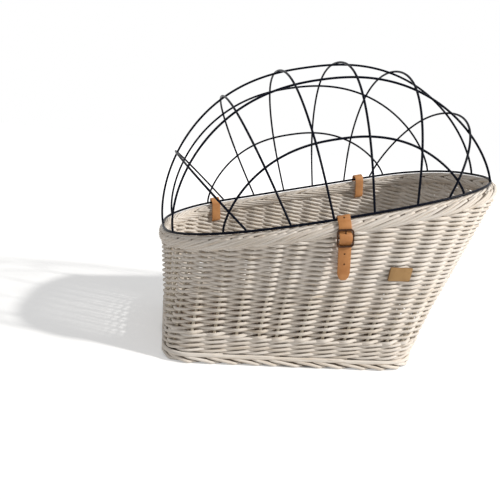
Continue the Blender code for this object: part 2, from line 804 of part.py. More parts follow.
def build_badge():
    """A small bare leather plate that lies on the near wall."""
    u = BADGE_SHARE * HALF_LENGTH
    stations = outlines(DENSE_STEPS, 0.0)
    rim = stations[0]
    near = [k for k in range(len(rim)) if rim[k][1] < AXIS_SHIFT]
    k = min(near, key=lambda i: abs(rim[i][0] - u))
    ends = stake_ends(stations)
    foot, top = ends[k]
    centre = foot.lerp(top, BADGE_RISE_SHARE)
    along = ends[k + 1][0].lerp(ends[k + 1][1], BADGE_RISE_SHARE) - centre
    along.z = 0
    along.normalize()
    out = along.cross(top - foot).normalized()
    up = out.cross(along).normalized()
    if out.y > 0:
        out = -out
    if up.z < 0:
        up = -up
    outline = rounded_rectangle(BADGE_WIDTH, BADGE_HEIGHT, BADGE_THICKNESS)
    rings = []
    for depth in (0, BADGE_THICKNESS):
        lift = out * (WALL / 2 + BADGE_STANDOFF + depth)
        rings.append([centre + along * p + up * q + lift for p, q in outline])
    verts, faces = prism(rings)
    add_object("badge", verts, faces, ((0.45, 0.31, 0.13), 0.5))


def build():
    clear_scene()
    build_base()
    weave = build_wall()
    rim_tube("top_border", BORDER_WIDTH / 2, BORDER_DEPTH / 2, BORDER_MIDDLE, BORDER_SIDES, willow(1.0))
    lid_axis = add_empty("lid_axis", to_world(0, rim_y(0, 1), 0))
    build_cage(lid_axis)
    build_hinge_loops(weave)
    strap_axis = add_empty("strap_axis", Station(STRAP_SHARE, -1).origin)
    strap_axis.parent = lid_axis
    strap_axis.matrix_parent_inverse = lid_axis.matrix_world.inverted()
    bpy.context.view_layer.update()
    build_strap(strap_axis)
    build_buckle(strap_axis)
    build_tongue(weave)
    build_badge()


build()
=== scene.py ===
"""Looks of the dog bicycle basket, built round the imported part.

The part's plain willow solids are replaced by rods woven one by one, and its
wires, leather and buckle by smoother pieces on the same lines. Sizes are in metres.
Places on the rim are (u, y, w) as in the part, and s counts the stakes round the
wall from the middle of the front, along the strap's side first.
"""
import math

import bpy
import numpy as np
from mathutils import Matrix, Vector


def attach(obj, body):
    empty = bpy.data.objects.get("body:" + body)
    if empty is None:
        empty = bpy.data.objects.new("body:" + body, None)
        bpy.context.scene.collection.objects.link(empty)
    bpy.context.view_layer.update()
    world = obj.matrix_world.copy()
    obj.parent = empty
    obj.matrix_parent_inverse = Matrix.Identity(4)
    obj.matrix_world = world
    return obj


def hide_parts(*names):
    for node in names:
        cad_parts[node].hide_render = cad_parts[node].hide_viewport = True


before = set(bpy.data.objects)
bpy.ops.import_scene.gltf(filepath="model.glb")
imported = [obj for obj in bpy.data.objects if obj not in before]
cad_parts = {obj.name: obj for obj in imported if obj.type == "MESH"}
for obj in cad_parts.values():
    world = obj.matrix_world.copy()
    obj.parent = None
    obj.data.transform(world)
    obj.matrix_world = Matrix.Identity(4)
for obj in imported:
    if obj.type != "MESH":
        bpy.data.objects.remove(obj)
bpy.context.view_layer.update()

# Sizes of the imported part. The coat, the loops' arch and lean, the lower holes' drops and
# the badge's seat are the looks' own.
GAP = 0.0003
WELD_GAP = 0.0004
RING_LENGTH = 0.600
RING_NEAR = 0.212
RING_FAR = 0.180
RING_RADIUS = 0.0022
RIM_HEIGHT = 0.265
RIM_OFFSET = 0.056
RIM_TILT = math.radians(14)
NEAR_POWER = 2.5
FAR_POWER = 2.7
FAR_FLATNESS = 24
WIRE_RADIUS = 0.0015
ENAMEL_COAT = 0.0004
# End shares, height and powers of the lengthwise wires
CENTRE_WIRE = ((-1, 1), 0.238, (2.4, 1.65))
UPPER_WIRES = ((-0.943, 0.897), 0.210, (2.27, 1.6))
LOWER_WIRES = ((-0.683, 0.623), 0.117, (2.35, 1.35))
HOOP_BASE_SHARES = (-0.570, -0.347, -0.125, 0.090, 0.330, 0.527)
HOOP_TOP_SHARES = (-0.843, -0.523, -0.177, 0.180, 0.520, 0.853)
BORDER_WIDTH = 0.020
BORDER_DEPTH = 0.024
BASE_LENGTH = 0.446
BASE_WIDTH = 0.330
FRONT_CORNER = 0.045
REAR_CORNER = 0.080
BOTTOM_THICKNESS = 0.0105
FOOT_HEIGHT = 0.018
FOOT_WIDTH = 0.019
WALING_HEIGHT = 0.032
WALL = 0.0125
STAKE_RADIUS = 0.0026
LEATHER = 0.0025
LOOP_WIDTH = 0.0175
LOOP_SLACK = 0.0055
LOOP_DROP = 0.038
LOOP_CORNER = 0.005
LOOP_FIT = 0.0010
LOOP_SHARES = (-0.631, 0.435)
LOOP_ARCH_SHARE = 0.94
LOOP_LEAN_SHARE = 0.15
STRAP_WIDTH = 0.020
STRAP_LENGTH = 0.095
STRAP_SHARE = -0.078
STRAP_FIT = 0.0008
STRAP_CLEARANCE = 0.0006
STRAP_HOOK_DEGREES = (150, 66)
STRAP_SHOULDER_DEGREES = (62, 45, 30, 16)
STRAP_BULGE_SHARES = ((0.7, 0.42), (1, 0.1), (1, -0.1), (0.7, -0.42))
STRAP_FALL_SHARES = (0.2, 0.4, 0.6, 0.8, 1.0)
STRAP_DRAW_IN = 0.0048
STRAP_LEAN = math.radians(7.4)
STRAP_LEAN_DROPS = (0.008, 0.016)
TIP_LENGTH = 0.014
TIP_NARROWING_SHARE = 0.85
HOLE_RADIUS = 0.0014
HOLE_DROPS = (0.0526, 0.0690)
TOP_HOLE_DROP = -0.0018
BUCKLE_WIDTH = 0.0270
BUCKLE_HEIGHT = 0.0285
BUCKLE_DROP = 0.0278
BUCKLE_BAR = 0.0015
CENTRE_BAR = 0.00135
BUCKLE_CORNER = 0.004
PRONG_RADIUS = 0.0008
BADGE_WIDTH = 0.0405
BADGE_HEIGHT = 0.024
BADGE_THICKNESS = 0.002
BADGE_SHARE = 0.375
BADGE_RISE_SHARE = 0.642
BADGE_SEAT = 0.0030

HALF_LENGTH = RING_LENGTH / 2
AXIS_SHIFT = (RING_NEAR - RING_FAR) / 2
BORDER_TOP = -(RING_RADIUS + GAP)
BORDER_MIDDLE = BORDER_TOP - BORDER_DEPTH / 2
WALL_TOP = BORDER_TOP - BORDER_DEPTH - GAP
STRAP_FACE = BORDER_WIDTH / 2 + STRAP_CLEARANCE + LEATHER / 2
BUCKLE_OUT = STRAP_FACE + BUCKLE_BAR + GAP + LEATHER / 2
STAKE_FOOT = FOOT_HEIGHT + GAP
WALING_TOP = STAKE_FOOT + WALING_HEIGHT

# The stakes, as close together as they stand in the real wall, with their uneven steps
STAKES = 40
STAKE_PHASE_SHARE = 0.17
RIM_LAG_SHARE = 1.3
FIRST_SHIFTED_STAKE = 5
STAKE_SHIFT_SHARES = (-0.01, 0.04, 0.05, 0.08, -0.14, -0.05, -0.03, 0.01, 0.09, 0.04)

# The randing: rods that rise by one row at every stake. A rod fills a share of its row,
# swells between stakes, and swings out and in by waves of 1, 3 and 5 turns per two stakes.
ROW_PITCH = 0.0038
FIRST_ROW_EXTRA = 0.0019
THINNING_ROWS = 12
ROW_FILL_SHARES = (0.46, 0.58)
ROW_FILL_ROWS = 30
SWELL_SHARE = 0.15
SWELL_LAG = 0.1
HIGH_SWELL_SHARE = 0.5
HIGH_SWELL_ROWS = (10, 30)
LOW_ROD_SHARE = 0.12
LOW_ROD_ROWS = (0.5, 2.0)
SWING_WAVES = ((1, 0.88), (3, 0.095), (5, 0.025))
ROW_FLATNESS = 0.9
ROD_STEPS = 12
WEAVE_SIDES = 8
ROUND_SIDES = 10
WEAVE_PARTS = 5

# The weave is closer at the rear and on the far side, and swings wider on the near side
REAR_POWER = 4
REAR_ROWS = 7
FAR_CLOSENESS = 0.6
CLOSE_ROD_SHARE = 0.22
CLOSE_SWING_SHARE = 0.32
NEAR_SWING_SHARE = 0.13

# The waling
WALE_ROWS = 4
WALE_RODS = 3
WALE_RADIUS = 0.0025
WALE_REACH = 0.0052
WALE_LEAN = 0.15
WALE_RISE = 0.0025
WALE_SWELL_SHARE = 0.06
WALE_SWELLS = 5

# The top border: a course of rods over the outside and two over the inside. Spans and
# steps are for the front and the rear. Degrees, runs, rises and tapers are a start and a
# change. Each end is sunk: how deep, and up to or from what share of the rod.
BORDER_ROD = 0.0025
BORDER_SPANS = (2.8, 1.4)
BORDER_PAIR_STEPS = (0.44, 0.38)
BORDER_DRIFT = 0.04
OUTER_STEPS = 64
OUTER_DEGREES = (-88, 132)
OUTER_ENDS = ((0.0030, 0.14), (0.0022, 0.93))
OUTER_CROWN = 0.0005
OUTER_ROD_SHARE = 1.06
OUTER_REAR_SHARE = 0.10
OUTER_THINNING = 0.14
INNER_STEPS = 52
# Start and run in stakes, start and turn in degrees, inset and thickness in rods, ends
INNER_COURSES = (
    (0.3, 1.9, 40, 125, 1.2, 0.92, ((0.0024, 0.20), (0.0030, 0.85))),
    (0.0, 2.2, 262, -115, 1.1, 0.95, ((0.0030, 0.15), (0.0034, 0.88))),
)
BORDER_CORE_SHARE = 0.33
BORDER_CORE_FLATNESS = 0.8

# The foot border: slanting rods under a band of longer ones, round a core
FOOT_ROD = 0.0031
FOOT_RUN = (-0.3, 1.8)
FOOT_DRIFT = 0.05
FOOT_RISE = (0.0135, -0.0106)
FOOT_FALL_SHARE = 0.76
FOOT_THINNING = 0.14
FOOT_PROUD = 0.0004
FOOT_ENDS = ((0.0045, 0.22), (0.0060, 0.72))
BAND_ROD = 0.0031
BAND_STAKES = 3
BAND_SPAN = 6.4
BAND_DRIFT = 0.2
BAND_RISE = (0.0130, 0.0032)
BAND_THINNING = 0.1
BAND_PROUD = 0.0006
BAND_ENDS = ((0.0050, 0.08), (0.0050, 0.94))
FOOT_CORE_HEIGHTS = (0.0065, 0.0115)
FOOT_CORE_ASIDES = (-0.0040, 0.0008)
FOOT_CORE_RADIUS = 0.0054

# The bottom
STICK = 0.0042
STICK_FLATNESS = 0.5
STICK_COUNT = 9
STICK_MARGIN = 0.012
MAT_ROD = 0.0021
MAT_CLOSENESS = 0.92
MAT_LIFT = 0.0007
MAT_TUCK = 0.0034

# The cage and its weld beads
WIRE_STEPS = 160
WIRE_SIDES = 12
BEAD_STEPS = 9
BEAD_END = 0.12
BEAD_REACH_SHARE = 0.8
BEAD_SHARE = 1.35

# The leather's edges, the prong, and the badge's rings: shrunk to and raised to
EDGE_SHARE = 0.32
EDGE_RUB = 0.0009
PRONG_TAPER = (1.1, -0.35)
BADGE_RINGS = ((1.0, 0.0), (1.0, 0.75), (0.985, 0.95), (0.96, 1.0), (0.8, 1.0), (0.4, 1.0))
BADGE_BEND = 0.0012

TURN = 2 * math.pi
UP = np.array((0.0, 0.0, 1.0))
RIM_NORMAL = np.array((-math.sin(RIM_TILT), 0.0, math.cos(RIM_TILT)))
chance = np.random.RandomState(11)


# Curves in the part's frame

def rim_y(u, side):
    """Distance of the ring across the rim at u, bowed on the near side, flat on the far."""
    power = NEAR_POWER if side < 0 else FAR_POWER
    reach = np.maximum(0, 1 - np.abs(np.asarray(u) / HALF_LENGTH) ** power) ** (1 / power)
    y = RING_NEAR * reach
    if side > 0:
        y = y * (1 + (y / RING_FAR) ** FAR_FLATNESS) ** (-1 / FAR_FLATNESS)
    return AXIS_SHIFT + side * y


def to_world(u, y, w):
    u, y, w = np.broadcast_arrays(np.asarray(u, float), y, w)
    x = RIM_OFFSET + u * math.cos(RIM_TILT) - w * math.sin(RIM_TILT)
    z = RIM_HEIGHT + u * math.sin(RIM_TILT) + w * math.cos(RIM_TILT)
    return np.stack([x, y, z], -1)


def unit(vectors):
    vectors = np.asarray(vectors, float)
    return vectors / np.linalg.norm(vectors, axis=-1, keepdims=True)


def lengths(path):
    """How far along an open path each of its points is."""
    return np.concatenate([[0.0], np.cumsum(np.linalg.norm(np.diff(path, axis=0), axis=1))])


def heading(path, closed):
    if closed:
        return unit(np.roll(path, -1, axis=0) - np.roll(path, 1, axis=0))
    return unit(np.gradient(path, axis=0))


def walk(points, shares):
    """Points at shares of the length of an open path."""
    length = lengths(points)
    where = np.asarray(shares) * length[-1]
    return np.stack([np.interp(where, length, points[:, k]) for k in range(points.shape[1])], -1)


def rim_half(side):
    angles = np.linspace(0, math.pi, 720)
    u = -HALF_LENGTH * np.cos(angles)
    return np.stack([u, rim_y(u, side)], 1)


def base_half(side):
    reach, half = BASE_LENGTH / 2, BASE_WIDTH / 2
    path = [(-reach, 0.0)]
    for end, radius, start in ((-1, FRONT_CORNER, math.pi), (1, REAR_CORNER, math.pi / 2)):
        for a in start - np.linspace(0, math.pi / 2, 91):
            x = end * (reach - radius) + radius * math.cos(a)
            path.append((x, side * (half - radius + radius * math.sin(a))))
    path.append((reach, 0.0))
    return np.array(path)


def closed_walk(half, s, lag=0.0):
    """Places at s along a closed outline, the near half first."""
    stakes = FIRST_SHIFTED_STAKE - 1 + np.arange(len(STAKE_SHIFT_SHARES) + 2)
    shift = np.interp(s % STAKES, stakes, (0,) + STAKE_SHIFT_SHARES + (0,))
    shares = ((s + shift + STAKE_PHASE_SHARE) / STAKES) % 1
    shares = (shares - lag / STAKES * np.sin(TURN * shares)) % 1
    near = walk(half(-1), np.clip(shares * 2, 0, 1))
    far = walk(half(1)[::-1], np.clip(shares * 2 - 1, 0, 1))
    return np.where((shares < 0.5)[:, None], near, far)


def side_normals(path, closed):
    ahead = heading(path, closed)
    return np.stack([-ahead[:, 1], ahead[:, 0]], 1)


class Wall:
    """The wall's outlines, read at any s by interpolation. The stakes' tops lag at the rim."""

    STEPS = 24

    def __init__(self, lag):
        self.s = np.arange(STAKES * self.STEPS) / self.STEPS
        self.rim = closed_walk(rim_half, self.s, lag)
        self.rim_out = -side_normals(self.rim, True)
        base = closed_walk(base_half, self.s)
        self.base_out = -side_normals(base, True)
        self.base = base - self.base_out * (FOOT_WIDTH / 2)
        self.top = to_world(self.rim[:, 0], self.rim[:, 1], WALL_TOP)
        edge = self.rim + self.rim_out
        self.top_out = to_world(edge[:, 0], edge[:, 1], WALL_TOP) - self.top
        run = self.top - np.column_stack([self.base, np.full(len(self.s), STAKE_FOOT)])
        sideways = (run[:, :2] * self.base_out).sum(1)
        self.slant = np.hypot(sideways, run[:, 2]) / run[:, 2]

    def read(self, table, s):
        s = np.asarray(s, float) % STAKES
        return np.stack([np.interp(s, self.s, column, period=STAKES) for column in table.T], -1)

    def at(self, s, z, offset):
        """A place in the wall at a height, offset outward from its middle surface."""
        s, z, offset = np.broadcast_arrays(np.asarray(s, float), z, offset)
        base, top = self.read(self.base, s), self.read(self.top, s)
        foot = np.column_stack([base, np.full(len(s), STAKE_FOOT)])
        share = ((z - foot[:, 2]) / (top[:, 2] - foot[:, 2]))[:, None]
        base_out = np.column_stack([self.read(self.base_out, s), np.zeros(len(s))])
        out = base_out + (self.read(self.top_out, s) - base_out) * share
        out[:, 2] *= share[:, 0]
        return foot + (top - foot) * share + unit(out) * offset[:, None]

    def on_rim(self, s, aside, w):
        """A place beside the ring, aside from it and w above its plane."""
        place = self.read(self.rim, s) + self.read(self.rim_out, s) * np.reshape(aside, (-1, 1))
        return to_world(place[:, 0], place[:, 1], w)

    def on_border(self, s, degrees, inset):
        """A place on the top border's oval section, 0 outward and 90 up."""
        turn = np.radians(degrees)
        aside = (BORDER_WIDTH / 2 - inset) * np.cos(turn)
        return self.on_rim(s, aside, BORDER_MIDDLE + (BORDER_DEPTH / 2 - inset) * np.sin(turn))

    def on_foot(self, s, z, aside):
        """A place in the foot border, aside from its middle line."""
        s, z, aside = np.broadcast_arrays(np.asarray(s, float), z, aside)
        place = self.read(self.base, s) + self.read(self.base_out, s) * aside[:, None]
        return np.column_stack([place, z])


wall = Wall(RIM_LAG_SHARE)
plain_wall = Wall(0.0)


def wobble(t, size, rate):
    """A smooth irregular wave along t."""
    total = np.zeros_like(t)
    for k in range(3):
        total += np.sin(t * rate * (1 + 0.73 * k) + chance.uniform(0, TURN)) / (1 + k)
    return total * size / 1.8


def drift(reach):
    return chance.uniform(-reach, reach)


def smooth_step(low, high, t):
    t = np.clip((t - low) / (high - low), 0, 1)
    return t * t * (3 - 2 * t)


# Meshes

def tube_faces(rows, sides, closed=False):
    """Quads between rings of points, and the caps of an open tube."""
    r, i = np.arange(rows if closed else rows - 1)[:, None], np.arange(sides)
    after, j = (r + 1) % rows, (i + 1) % sides
    corners = (r * sides + i, r * sides + j, after * sides + j, after * sides + i)
    quads = np.stack(corners, -1).reshape(-1, 4)
    last = (rows - 1) * sides
    caps = [] if closed else [list(range(sides))[::-1], list(range(last, last + sides))]
    return quads, caps


class Bundle:
    """Rods gathered into one mesh. Each point keeps its place along and round its rod."""

    def __init__(self, sides):
        self.sides = sides
        self.verts, self.marks, self.quads, self.caps = [], [], [], []
        self.count = 0

    def add(self, path, radius, ref=UP, closed=False, tone=None, flat=1.0):
        path = np.asarray(path, float)
        count, sides = len(path), self.sides
        ahead = heading(path, closed)
        first = unit(ref - ahead * (ahead * ref).sum(1)[:, None])
        second = np.cross(ahead, first)
        turn = TURN * np.arange(sides) / sides
        radius = np.broadcast_to(radius, (count,))[:, None, None]
        ring = np.cos(turn)[:, None] * first[:, None]
        ring = ring + flat * np.sin(turn)[:, None] * second[:, None]
        self.verts.append((path[:, None] + ring * radius).reshape(-1, 3))
        mark = np.empty((count, sides, 3))
        mark[:, :, 0] = lengths(path)[:, None] + chance.uniform(0, 5)
        mark[:, :, 1] = turn
        mark[:, :, 2] = chance.uniform() if tone is None else tone
        self.marks.append(mark.reshape(-1, 3))
        quads, caps = tube_faces(count, sides, closed)
        self.quads.append(quads + self.count)
        self.caps += [[self.count + k for k in cap] for cap in caps]
        self.count += count * sides

    def mesh(self, name, look):
        faces = np.concatenate(self.quads).tolist() + self.caps
        return add_mesh(name, self.verts, faces, "rod", self.marks, look)

    def build(self, name, look, body, slot, *nodes):
        dress(self.mesh(name, look), body, slot, *nodes)


def add_object(name, data):
    obj = bpy.data.objects.new(name, data)
    bpy.context.scene.collection.objects.link(obj)
    return obj


def add_mesh(name, verts, faces, layer, marks, look, sharp_degrees=50):
    """A mesh object with a layer of marks that its material reads."""
    mesh = bpy.data.meshes.new(name)
    mesh.from_pydata(np.concatenate(verts).tolist(), [], faces)
    values = mesh.attributes.new(layer, "FLOAT_VECTOR", "POINT").data
    values.foreach_set("vector", np.concatenate(marks).astype(np.float32).ravel())
    mesh.validate()
    mesh.shade_smooth()
    mesh.set_sharp_from_angle(angle=math.radians(sharp_degrees))
    mesh.materials.append(look)
    return add_object(name, mesh)


def dress(obj, body, slot, *nodes):
    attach(obj, body)
    if nodes:
        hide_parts(*nodes)


# Node materials

class Nodes:
    """Short calls that add nodes to a tree."""

    def __init__(self, tree):
        self.tree = tree

    def node(self, kind, inputs=None, **settings):
        node = self.tree.nodes.new(kind)
        for key, value in settings.items():
            setattr(node, key, value)
        for key, value in (inputs or {}).items():
            self.put(node.inputs[key], value)
        return node

    def put(self, socket, value):
        if isinstance(value, bpy.types.NodeSocket):
            self.tree.links.new(value, socket)
        else:
            socket.default_value = value

    def math(self, operation, a, b=0.0, clamp=False):
        node = self.node("ShaderNodeMath", {0: a, 1: b}, operation=operation, use_clamp=clamp)
        return node.outputs[0]

    def mix(self, factor, a, b):
        node = self.node("ShaderNodeMix", data_type="RGBA")
        self.put(node.inputs["Factor"], factor)
        for socket, value in ((node.inputs[6], a), (node.inputs[7], b)):
            self.put(socket, value if isinstance(value, bpy.types.NodeSocket) else (*value, 1.0))
        return node.outputs[2]

    def noise(self, vector, scale, detail=2.0, roughness=0.5):
        node = self.node("ShaderNodeTexNoise", {
            "Vector": vector, "Scale": scale, "Detail": detail, "Roughness": roughness})
        return node.outputs["Fac"]

    def grain(self, place, along, across, detail, roughness=0.5):
        """Noise with its own scale along a rod and across it."""
        place = self.vector("MULTIPLY", place, (along, across, across))
        return self.noise(place, 1.0, detail, roughness)

    def place(self):
        return self.node("ShaderNodeTexCoord").outputs["Object"]

    def marks(self, layer):
        """The three values of a mesh's layer of marks."""
        vector = self.node("ShaderNodeAttribute", attribute_name=layer).outputs["Vector"]
        return self.node("ShaderNodeSeparateXYZ", {0: vector}).outputs

    def span(self, value, low, high, to_low=0.0, to_high=1.0):
        node = self.node("ShaderNodeMapRange", {
            "Value": value, "From Min": low, "From Max": high,
            "To Min": to_low, "To Max": to_high}, interpolation_type="SMOOTHSTEP")
        return node.outputs[0]

    def vector(self, operation, a, b=(0.0, 0.0, 0.0), output="Vector"):
        node = self.node("ShaderNodeVectorMath", {0: a, 1: b}, operation=operation)
        return node.outputs[output]

    def bump(self, height, strength, distance, **under):
        inputs = {"Height": height, "Strength": strength, "Distance": distance, **under}
        return self.node("ShaderNodeBump", inputs).outputs[0]


class Look(Nodes):
    """A Principled material and its nodes."""

    def __init__(self, name):
        self.material = bpy.data.materials.new(name)
        self.material.use_nodes = True
        super().__init__(self.material.node_tree)
        self.shader = self.tree.nodes["Principled BSDF"]

    def set(self, **values):
        for key, value in values.items():
            name = key.replace("_", " ").title().replace("Ior", "IOR")
            self.put(self.shader.inputs[name], value)


def rod_parts(look):
    """A rod's own coordinates (along, round, round) and its tone."""
    along, turn, tone = look.marks("rod")
    place = look.node("ShaderNodeCombineXYZ", {
        "X": along, "Y": look.math("COSINE", turn), "Z": look.math("SINE", turn)})
    apart = look.node("ShaderNodeCombineXYZ", {"X": look.math("MULTIPLY", tone, 37.0)})
    return look.vector("ADD", place.outputs[0], apart.outputs[0]), tone


def willow(name, pale, bare, worn, wash_share):
    """Peeled willow under a thin white wash: bare patches, fine grain along the rod."""
    look = Look(name)
    place, tone = rod_parts(look)
    patches = look.grain(place, 14.0, 0.8, 3.0, 0.6)
    thin = look.span(patches, wash_share, wash_share + 0.16)
    streaks = look.grain(place, 45.0, 3.2, 3.0, 0.6)
    washed = look.mix(look.span(streaks, 0.35, 0.7), pale, [c * 0.90 for c in pale])
    wood = look.mix(look.span(streaks, 0.3, 0.7), bare, [c * 0.78 for c in bare])
    colour = look.mix(look.math("MULTIPLY", thin, 0.55), washed, wood)
    marks = look.grain(place, 60.0, 1.6, 1.0)
    colour = look.mix(look.span(marks, 0.70, 0.78, 0.0, 0.45), colour, worn)
    colour = look.mix(look.span(tone, 0.0, 1.0, 0.0, 0.16), colour, bare)
    look.set(base_color=colour, roughness=look.span(streaks, 0.3, 0.7, 0.52, 0.72),
             specular_ior_level=0.35)
    grain = look.grain(place, 70.0, 5.0, 3.0, 0.65)
    lumps = look.grain(place, 28.0, 0.9, 1.0)
    first = look.bump(lumps, 0.5, 0.0010)
    look.set(normal=look.bump(grain, 0.45, 0.0004, Normal=first))
    return look.material


def enamel():
    """Gloss black enamel on wire, with slight orange peel."""
    look = Look("black_enamel")
    place = look.place()
    peel = look.noise(place, 420.0)
    # The slight blue in the black is painted reflection of a blue sky.
    look.set(base_color=look.mix(peel, (0.002, 0.003, 0.008), (0.004, 0.0055, 0.014)),
             roughness=look.span(peel, 0.3, 0.7, 0.26, 0.36), specular_ior_level=0.05,
             normal=look.bump(peel, 0.25, 0.0002))
    return look.material


def leather(name, tan, dark, edge):
    """Tan leather: fine pores, soft blotches and burnished edges."""
    look = Look(name)
    place = look.place()
    rub = look.marks("hide")["Z"]
    blotch = look.noise(place, 60.0, 4.0, 0.6)
    cells = look.node("ShaderNodeTexVoronoi", {"Vector": place, "Scale": 1500.0})
    fibre = look.noise(place, 900.0, 3.0, 0.6)
    colour = look.mix(look.span(blotch, 0.3, 0.72), tan, dark)
    colour = look.mix(look.span(fibre, 0.45, 0.75, 0.0, 0.25), colour, dark)
    colour = look.mix(look.math("MULTIPLY", rub, 0.75), colour, edge)
    look.set(base_color=colour, roughness=look.span(blotch, 0.3, 0.7, 0.46, 0.62),
             specular_ior_level=0.4)
    first = look.bump(cells.outputs["Distance"], 0.35, 0.0002)
    look.set(normal=look.bump(fibre, 0.30, 0.0002, Normal=first))
    return look.material


def bronze():
    """Dark antique bronze with brighter rubbed spots."""
    look = Look("dark_bronze")
    place = look.place()
    worn = look.noise(place, 700.0, 4.0, 0.6)
    colour = look.mix(look.span(worn, 0.56, 0.80), (0.060, 0.030, 0.018), (0.26, 0.14, 0.075))
    look.set(base_color=colour, roughness=look.span(worn, 0.3, 0.7, 0.42, 0.26),
             metallic=0.9, normal=look.bump(worn, 0.3, 0.0002))
    return look.material


RODS = willow(
    "washed_willow", (0.80, 0.738, 0.670), (0.50, 0.37, 0.22), (0.20, 0.12, 0.07), 0.56)
BORDER_RODS = willow(
    "washed_willow_border", (0.81, 0.748, 0.680), (0.54, 0.39, 0.23), (0.22, 0.13, 0.07), 0.54)
# The bottom: brown willow as its own colour, made darker still as painted shade, so the gaps in the
# wall show dark behind them.
STICKS = willow(
    "brown_stick_darkened_as_shade", (0.19, 0.125, 0.085), (0.15, 0.09, 0.055), (0.09, 0.05, 0.03), 0.50)
BOTTOM_RODS = willow(
    "brown_willow_darkened_as_shade", (0.20, 0.140, 0.098), (0.16, 0.105, 0.068), (0.09, 0.055, 0.032), 0.50)
STAKE_LOOK = willow(
    "peeled_stake", (0.81, 0.75, 0.64), (0.56, 0.42, 0.25), (0.25, 0.15, 0.08), 0.54)
# The borders' cores: willow painted almost black as shade, so the recesses between the border rods
# read as shadow.
CORE_PAINTED_SHADE_LOOK = willow(
    "shaded_willow", (0.13, 0.10, 0.075), (0.10, 0.07, 0.05), (0.06, 0.04, 0.03), 0.5)
ENAMEL = enamel()
TAN = leather(
    "tan_leather", (0.545, 0.240, 0.078), (0.43, 0.172, 0.050), (0.16, 0.060, 0.020))
# A lighter copy of the tan leather for the hinge loops: painted light, so the loops look as if they
# stood in brighter light than the strap.
LOOP_TAN_PAINTED_LIGHT = leather(
    "tan_leather_loops_painted_light", (0.76, 0.37, 0.145), (0.62, 0.27, 0.095), (0.24, 0.095, 0.034))
BADGE_TAN = leather(
    "badge_leather", (0.385, 0.222, 0.082), (0.30, 0.165, 0.058), (0.12, 0.058, 0.022))
SHADE = leather(
    "leather_in_shade", (0.060, 0.028, 0.012), (0.040, 0.018, 0.008), (0.03, 0.013, 0.006))
BRONZE = bronze()


# The willow body

def row_height(n):
    """Height of row n above the waling: rods thin towards their tips, so rows get closer."""
    extra = FIRST_ROW_EXTRA * THINNING_ROWS * (1 - np.exp(-n / THINNING_ROWS))
    return WALING_TOP + ROW_PITCH * n + extra


def runs(keep):
    """Index ranges where keep stays true."""
    edges = np.flatnonzero(np.diff(np.concatenate([[0], keep.astype(int), [0]])))
    return list(zip(edges[::2], edges[1::2]))


def sunk_ends(t, ends):
    """How deep a rod's two ends go into the border that holds them."""
    (first, until), (last, since) = ends
    return first * (1 - smooth_step(0.0, until, t)) + last * smooth_step(since, 1.0, t)


def build_weave():
    last = (wall.top[:, 2].max() - WALING_TOP) / ROW_PITCH
    n = np.arange(-0.5, last, 1 / ROD_STEPS)
    pitch = ROW_PITCH + FIRST_ROW_EXTRA * np.exp(-n / THINNING_ROWS)
    low, high = ROW_FILL_SHARES
    fill = low + (high - low) * smooth_step(0, ROW_FILL_ROWS, n)
    bulge = sum(np.cos(k * math.pi * n) * share for k, share in SWING_WAVES)
    swell = SWELL_SHARE * np.cos(math.pi * (n - SWELL_LAG)) ** 2
    swell = swell * (1 + HIGH_SWELL_SHARE * smooth_step(*HIGH_SWELL_ROWS, n))
    low_rods = 1 + LOW_ROD_SHARE * (1 - smooth_step(*LOW_ROD_ROWS, n))
    for part in range(WEAVE_PARTS):
        bundle = Bundle(WEAVE_SIDES)
        for j in range(part, STAKES, WEAVE_PARTS):
            s = n - j
            radius = pitch * fill * (1 + wobble(n, 0.06, 0.5)) * (1 + swell) * low_rods
            height = row_height(n) + wobble(n, 0.0004, 1.9)
            turn = TURN * s / STAKES
            close = (0.5 - 0.5 * np.cos(turn)) ** REAR_POWER * smooth_step(0, REAR_ROWS, n)
            close = np.maximum(close, FAR_CLOSENESS * np.clip(-np.sin(turn), 0, 1))
            radius = radius * (1 + CLOSE_ROD_SHARE * close)
            radius = radius * np.interp(s % STAKES, wall.s, wall.slant, period=STAKES)
            near = np.clip(np.sin(turn), 0, 1)
            reach = 1 - CLOSE_SWING_SHARE * close + NEAR_SWING_SHARE * near
            swing = (STAKE_RADIUS + radius) * bulge * reach
            offset = swing * (1 + wobble(n, 0.05, 1.3)) + wobble(n, 0.0003, 0.8)
            ceiling = wall.read(wall.top, s)[:, 2] + BORDER_DEPTH / 5
            tone = chance.uniform()
            for start, end in runs(height < ceiling):
                if end - start > ROD_STEPS:
                    piece = slice(start, end)
                    path = wall.at(s[piece], height[piece], offset[piece])
                    bundle.add(path, radius[piece], tone=tone, flat=ROW_FLATNESS)
        bundle.build(f"weave_{part + 1}", RODS, "basket", "willow", "side_weave")


def build_stakes():
    bundle = Bundle(ROUND_SIDES)
    t = np.linspace(0, 1, 14)
    for k in range(STAKES):
        top = wall.read(wall.top, [k])[0, 2] + BORDER_DEPTH / 5
        z = STAKE_FOOT + (top - STAKE_FOOT) * t
        bundle.add(wall.at(k + wobble(t * 5, 0.01, 1.0), z, 0), STAKE_RADIUS, ref=(1.0, 0.2, 0.0))
    stakes = [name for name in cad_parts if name.startswith("stake_")]
    bundle.build("stakes", STAKE_LOOK, "basket", "willow", *stakes)


def build_waling():
    bundle = Bundle(ROUND_SIDES)
    s = np.arange(STAKES * 10) / 10
    pitch = WALING_HEIGHT / WALE_ROWS
    for row in range(WALE_ROWS):
        for a in range(WALE_RODS):
            waves = s * round(STAKES / WALE_RODS) / STAKES
            turn = TURN * (waves - (a + row + 1) / WALE_RODS)
            offset = WALE_REACH * (np.cos(turn) + WALE_LEAN)
            height = STAKE_FOOT + pitch * (row + 0.5) + WALE_RISE * np.sin(turn)
            height = height + wobble(s * TURN / STAKES, 0.0004, 7.0)
            swell = WALE_SWELL_SHARE * np.sin(s * TURN / STAKES * WALE_SWELLS + a)
            bundle.add(wall.at(s, height, offset), WALE_RADIUS * (1 + swell), closed=True)
    bundle.build("waling_rods", RODS, "basket", "willow", "waling")


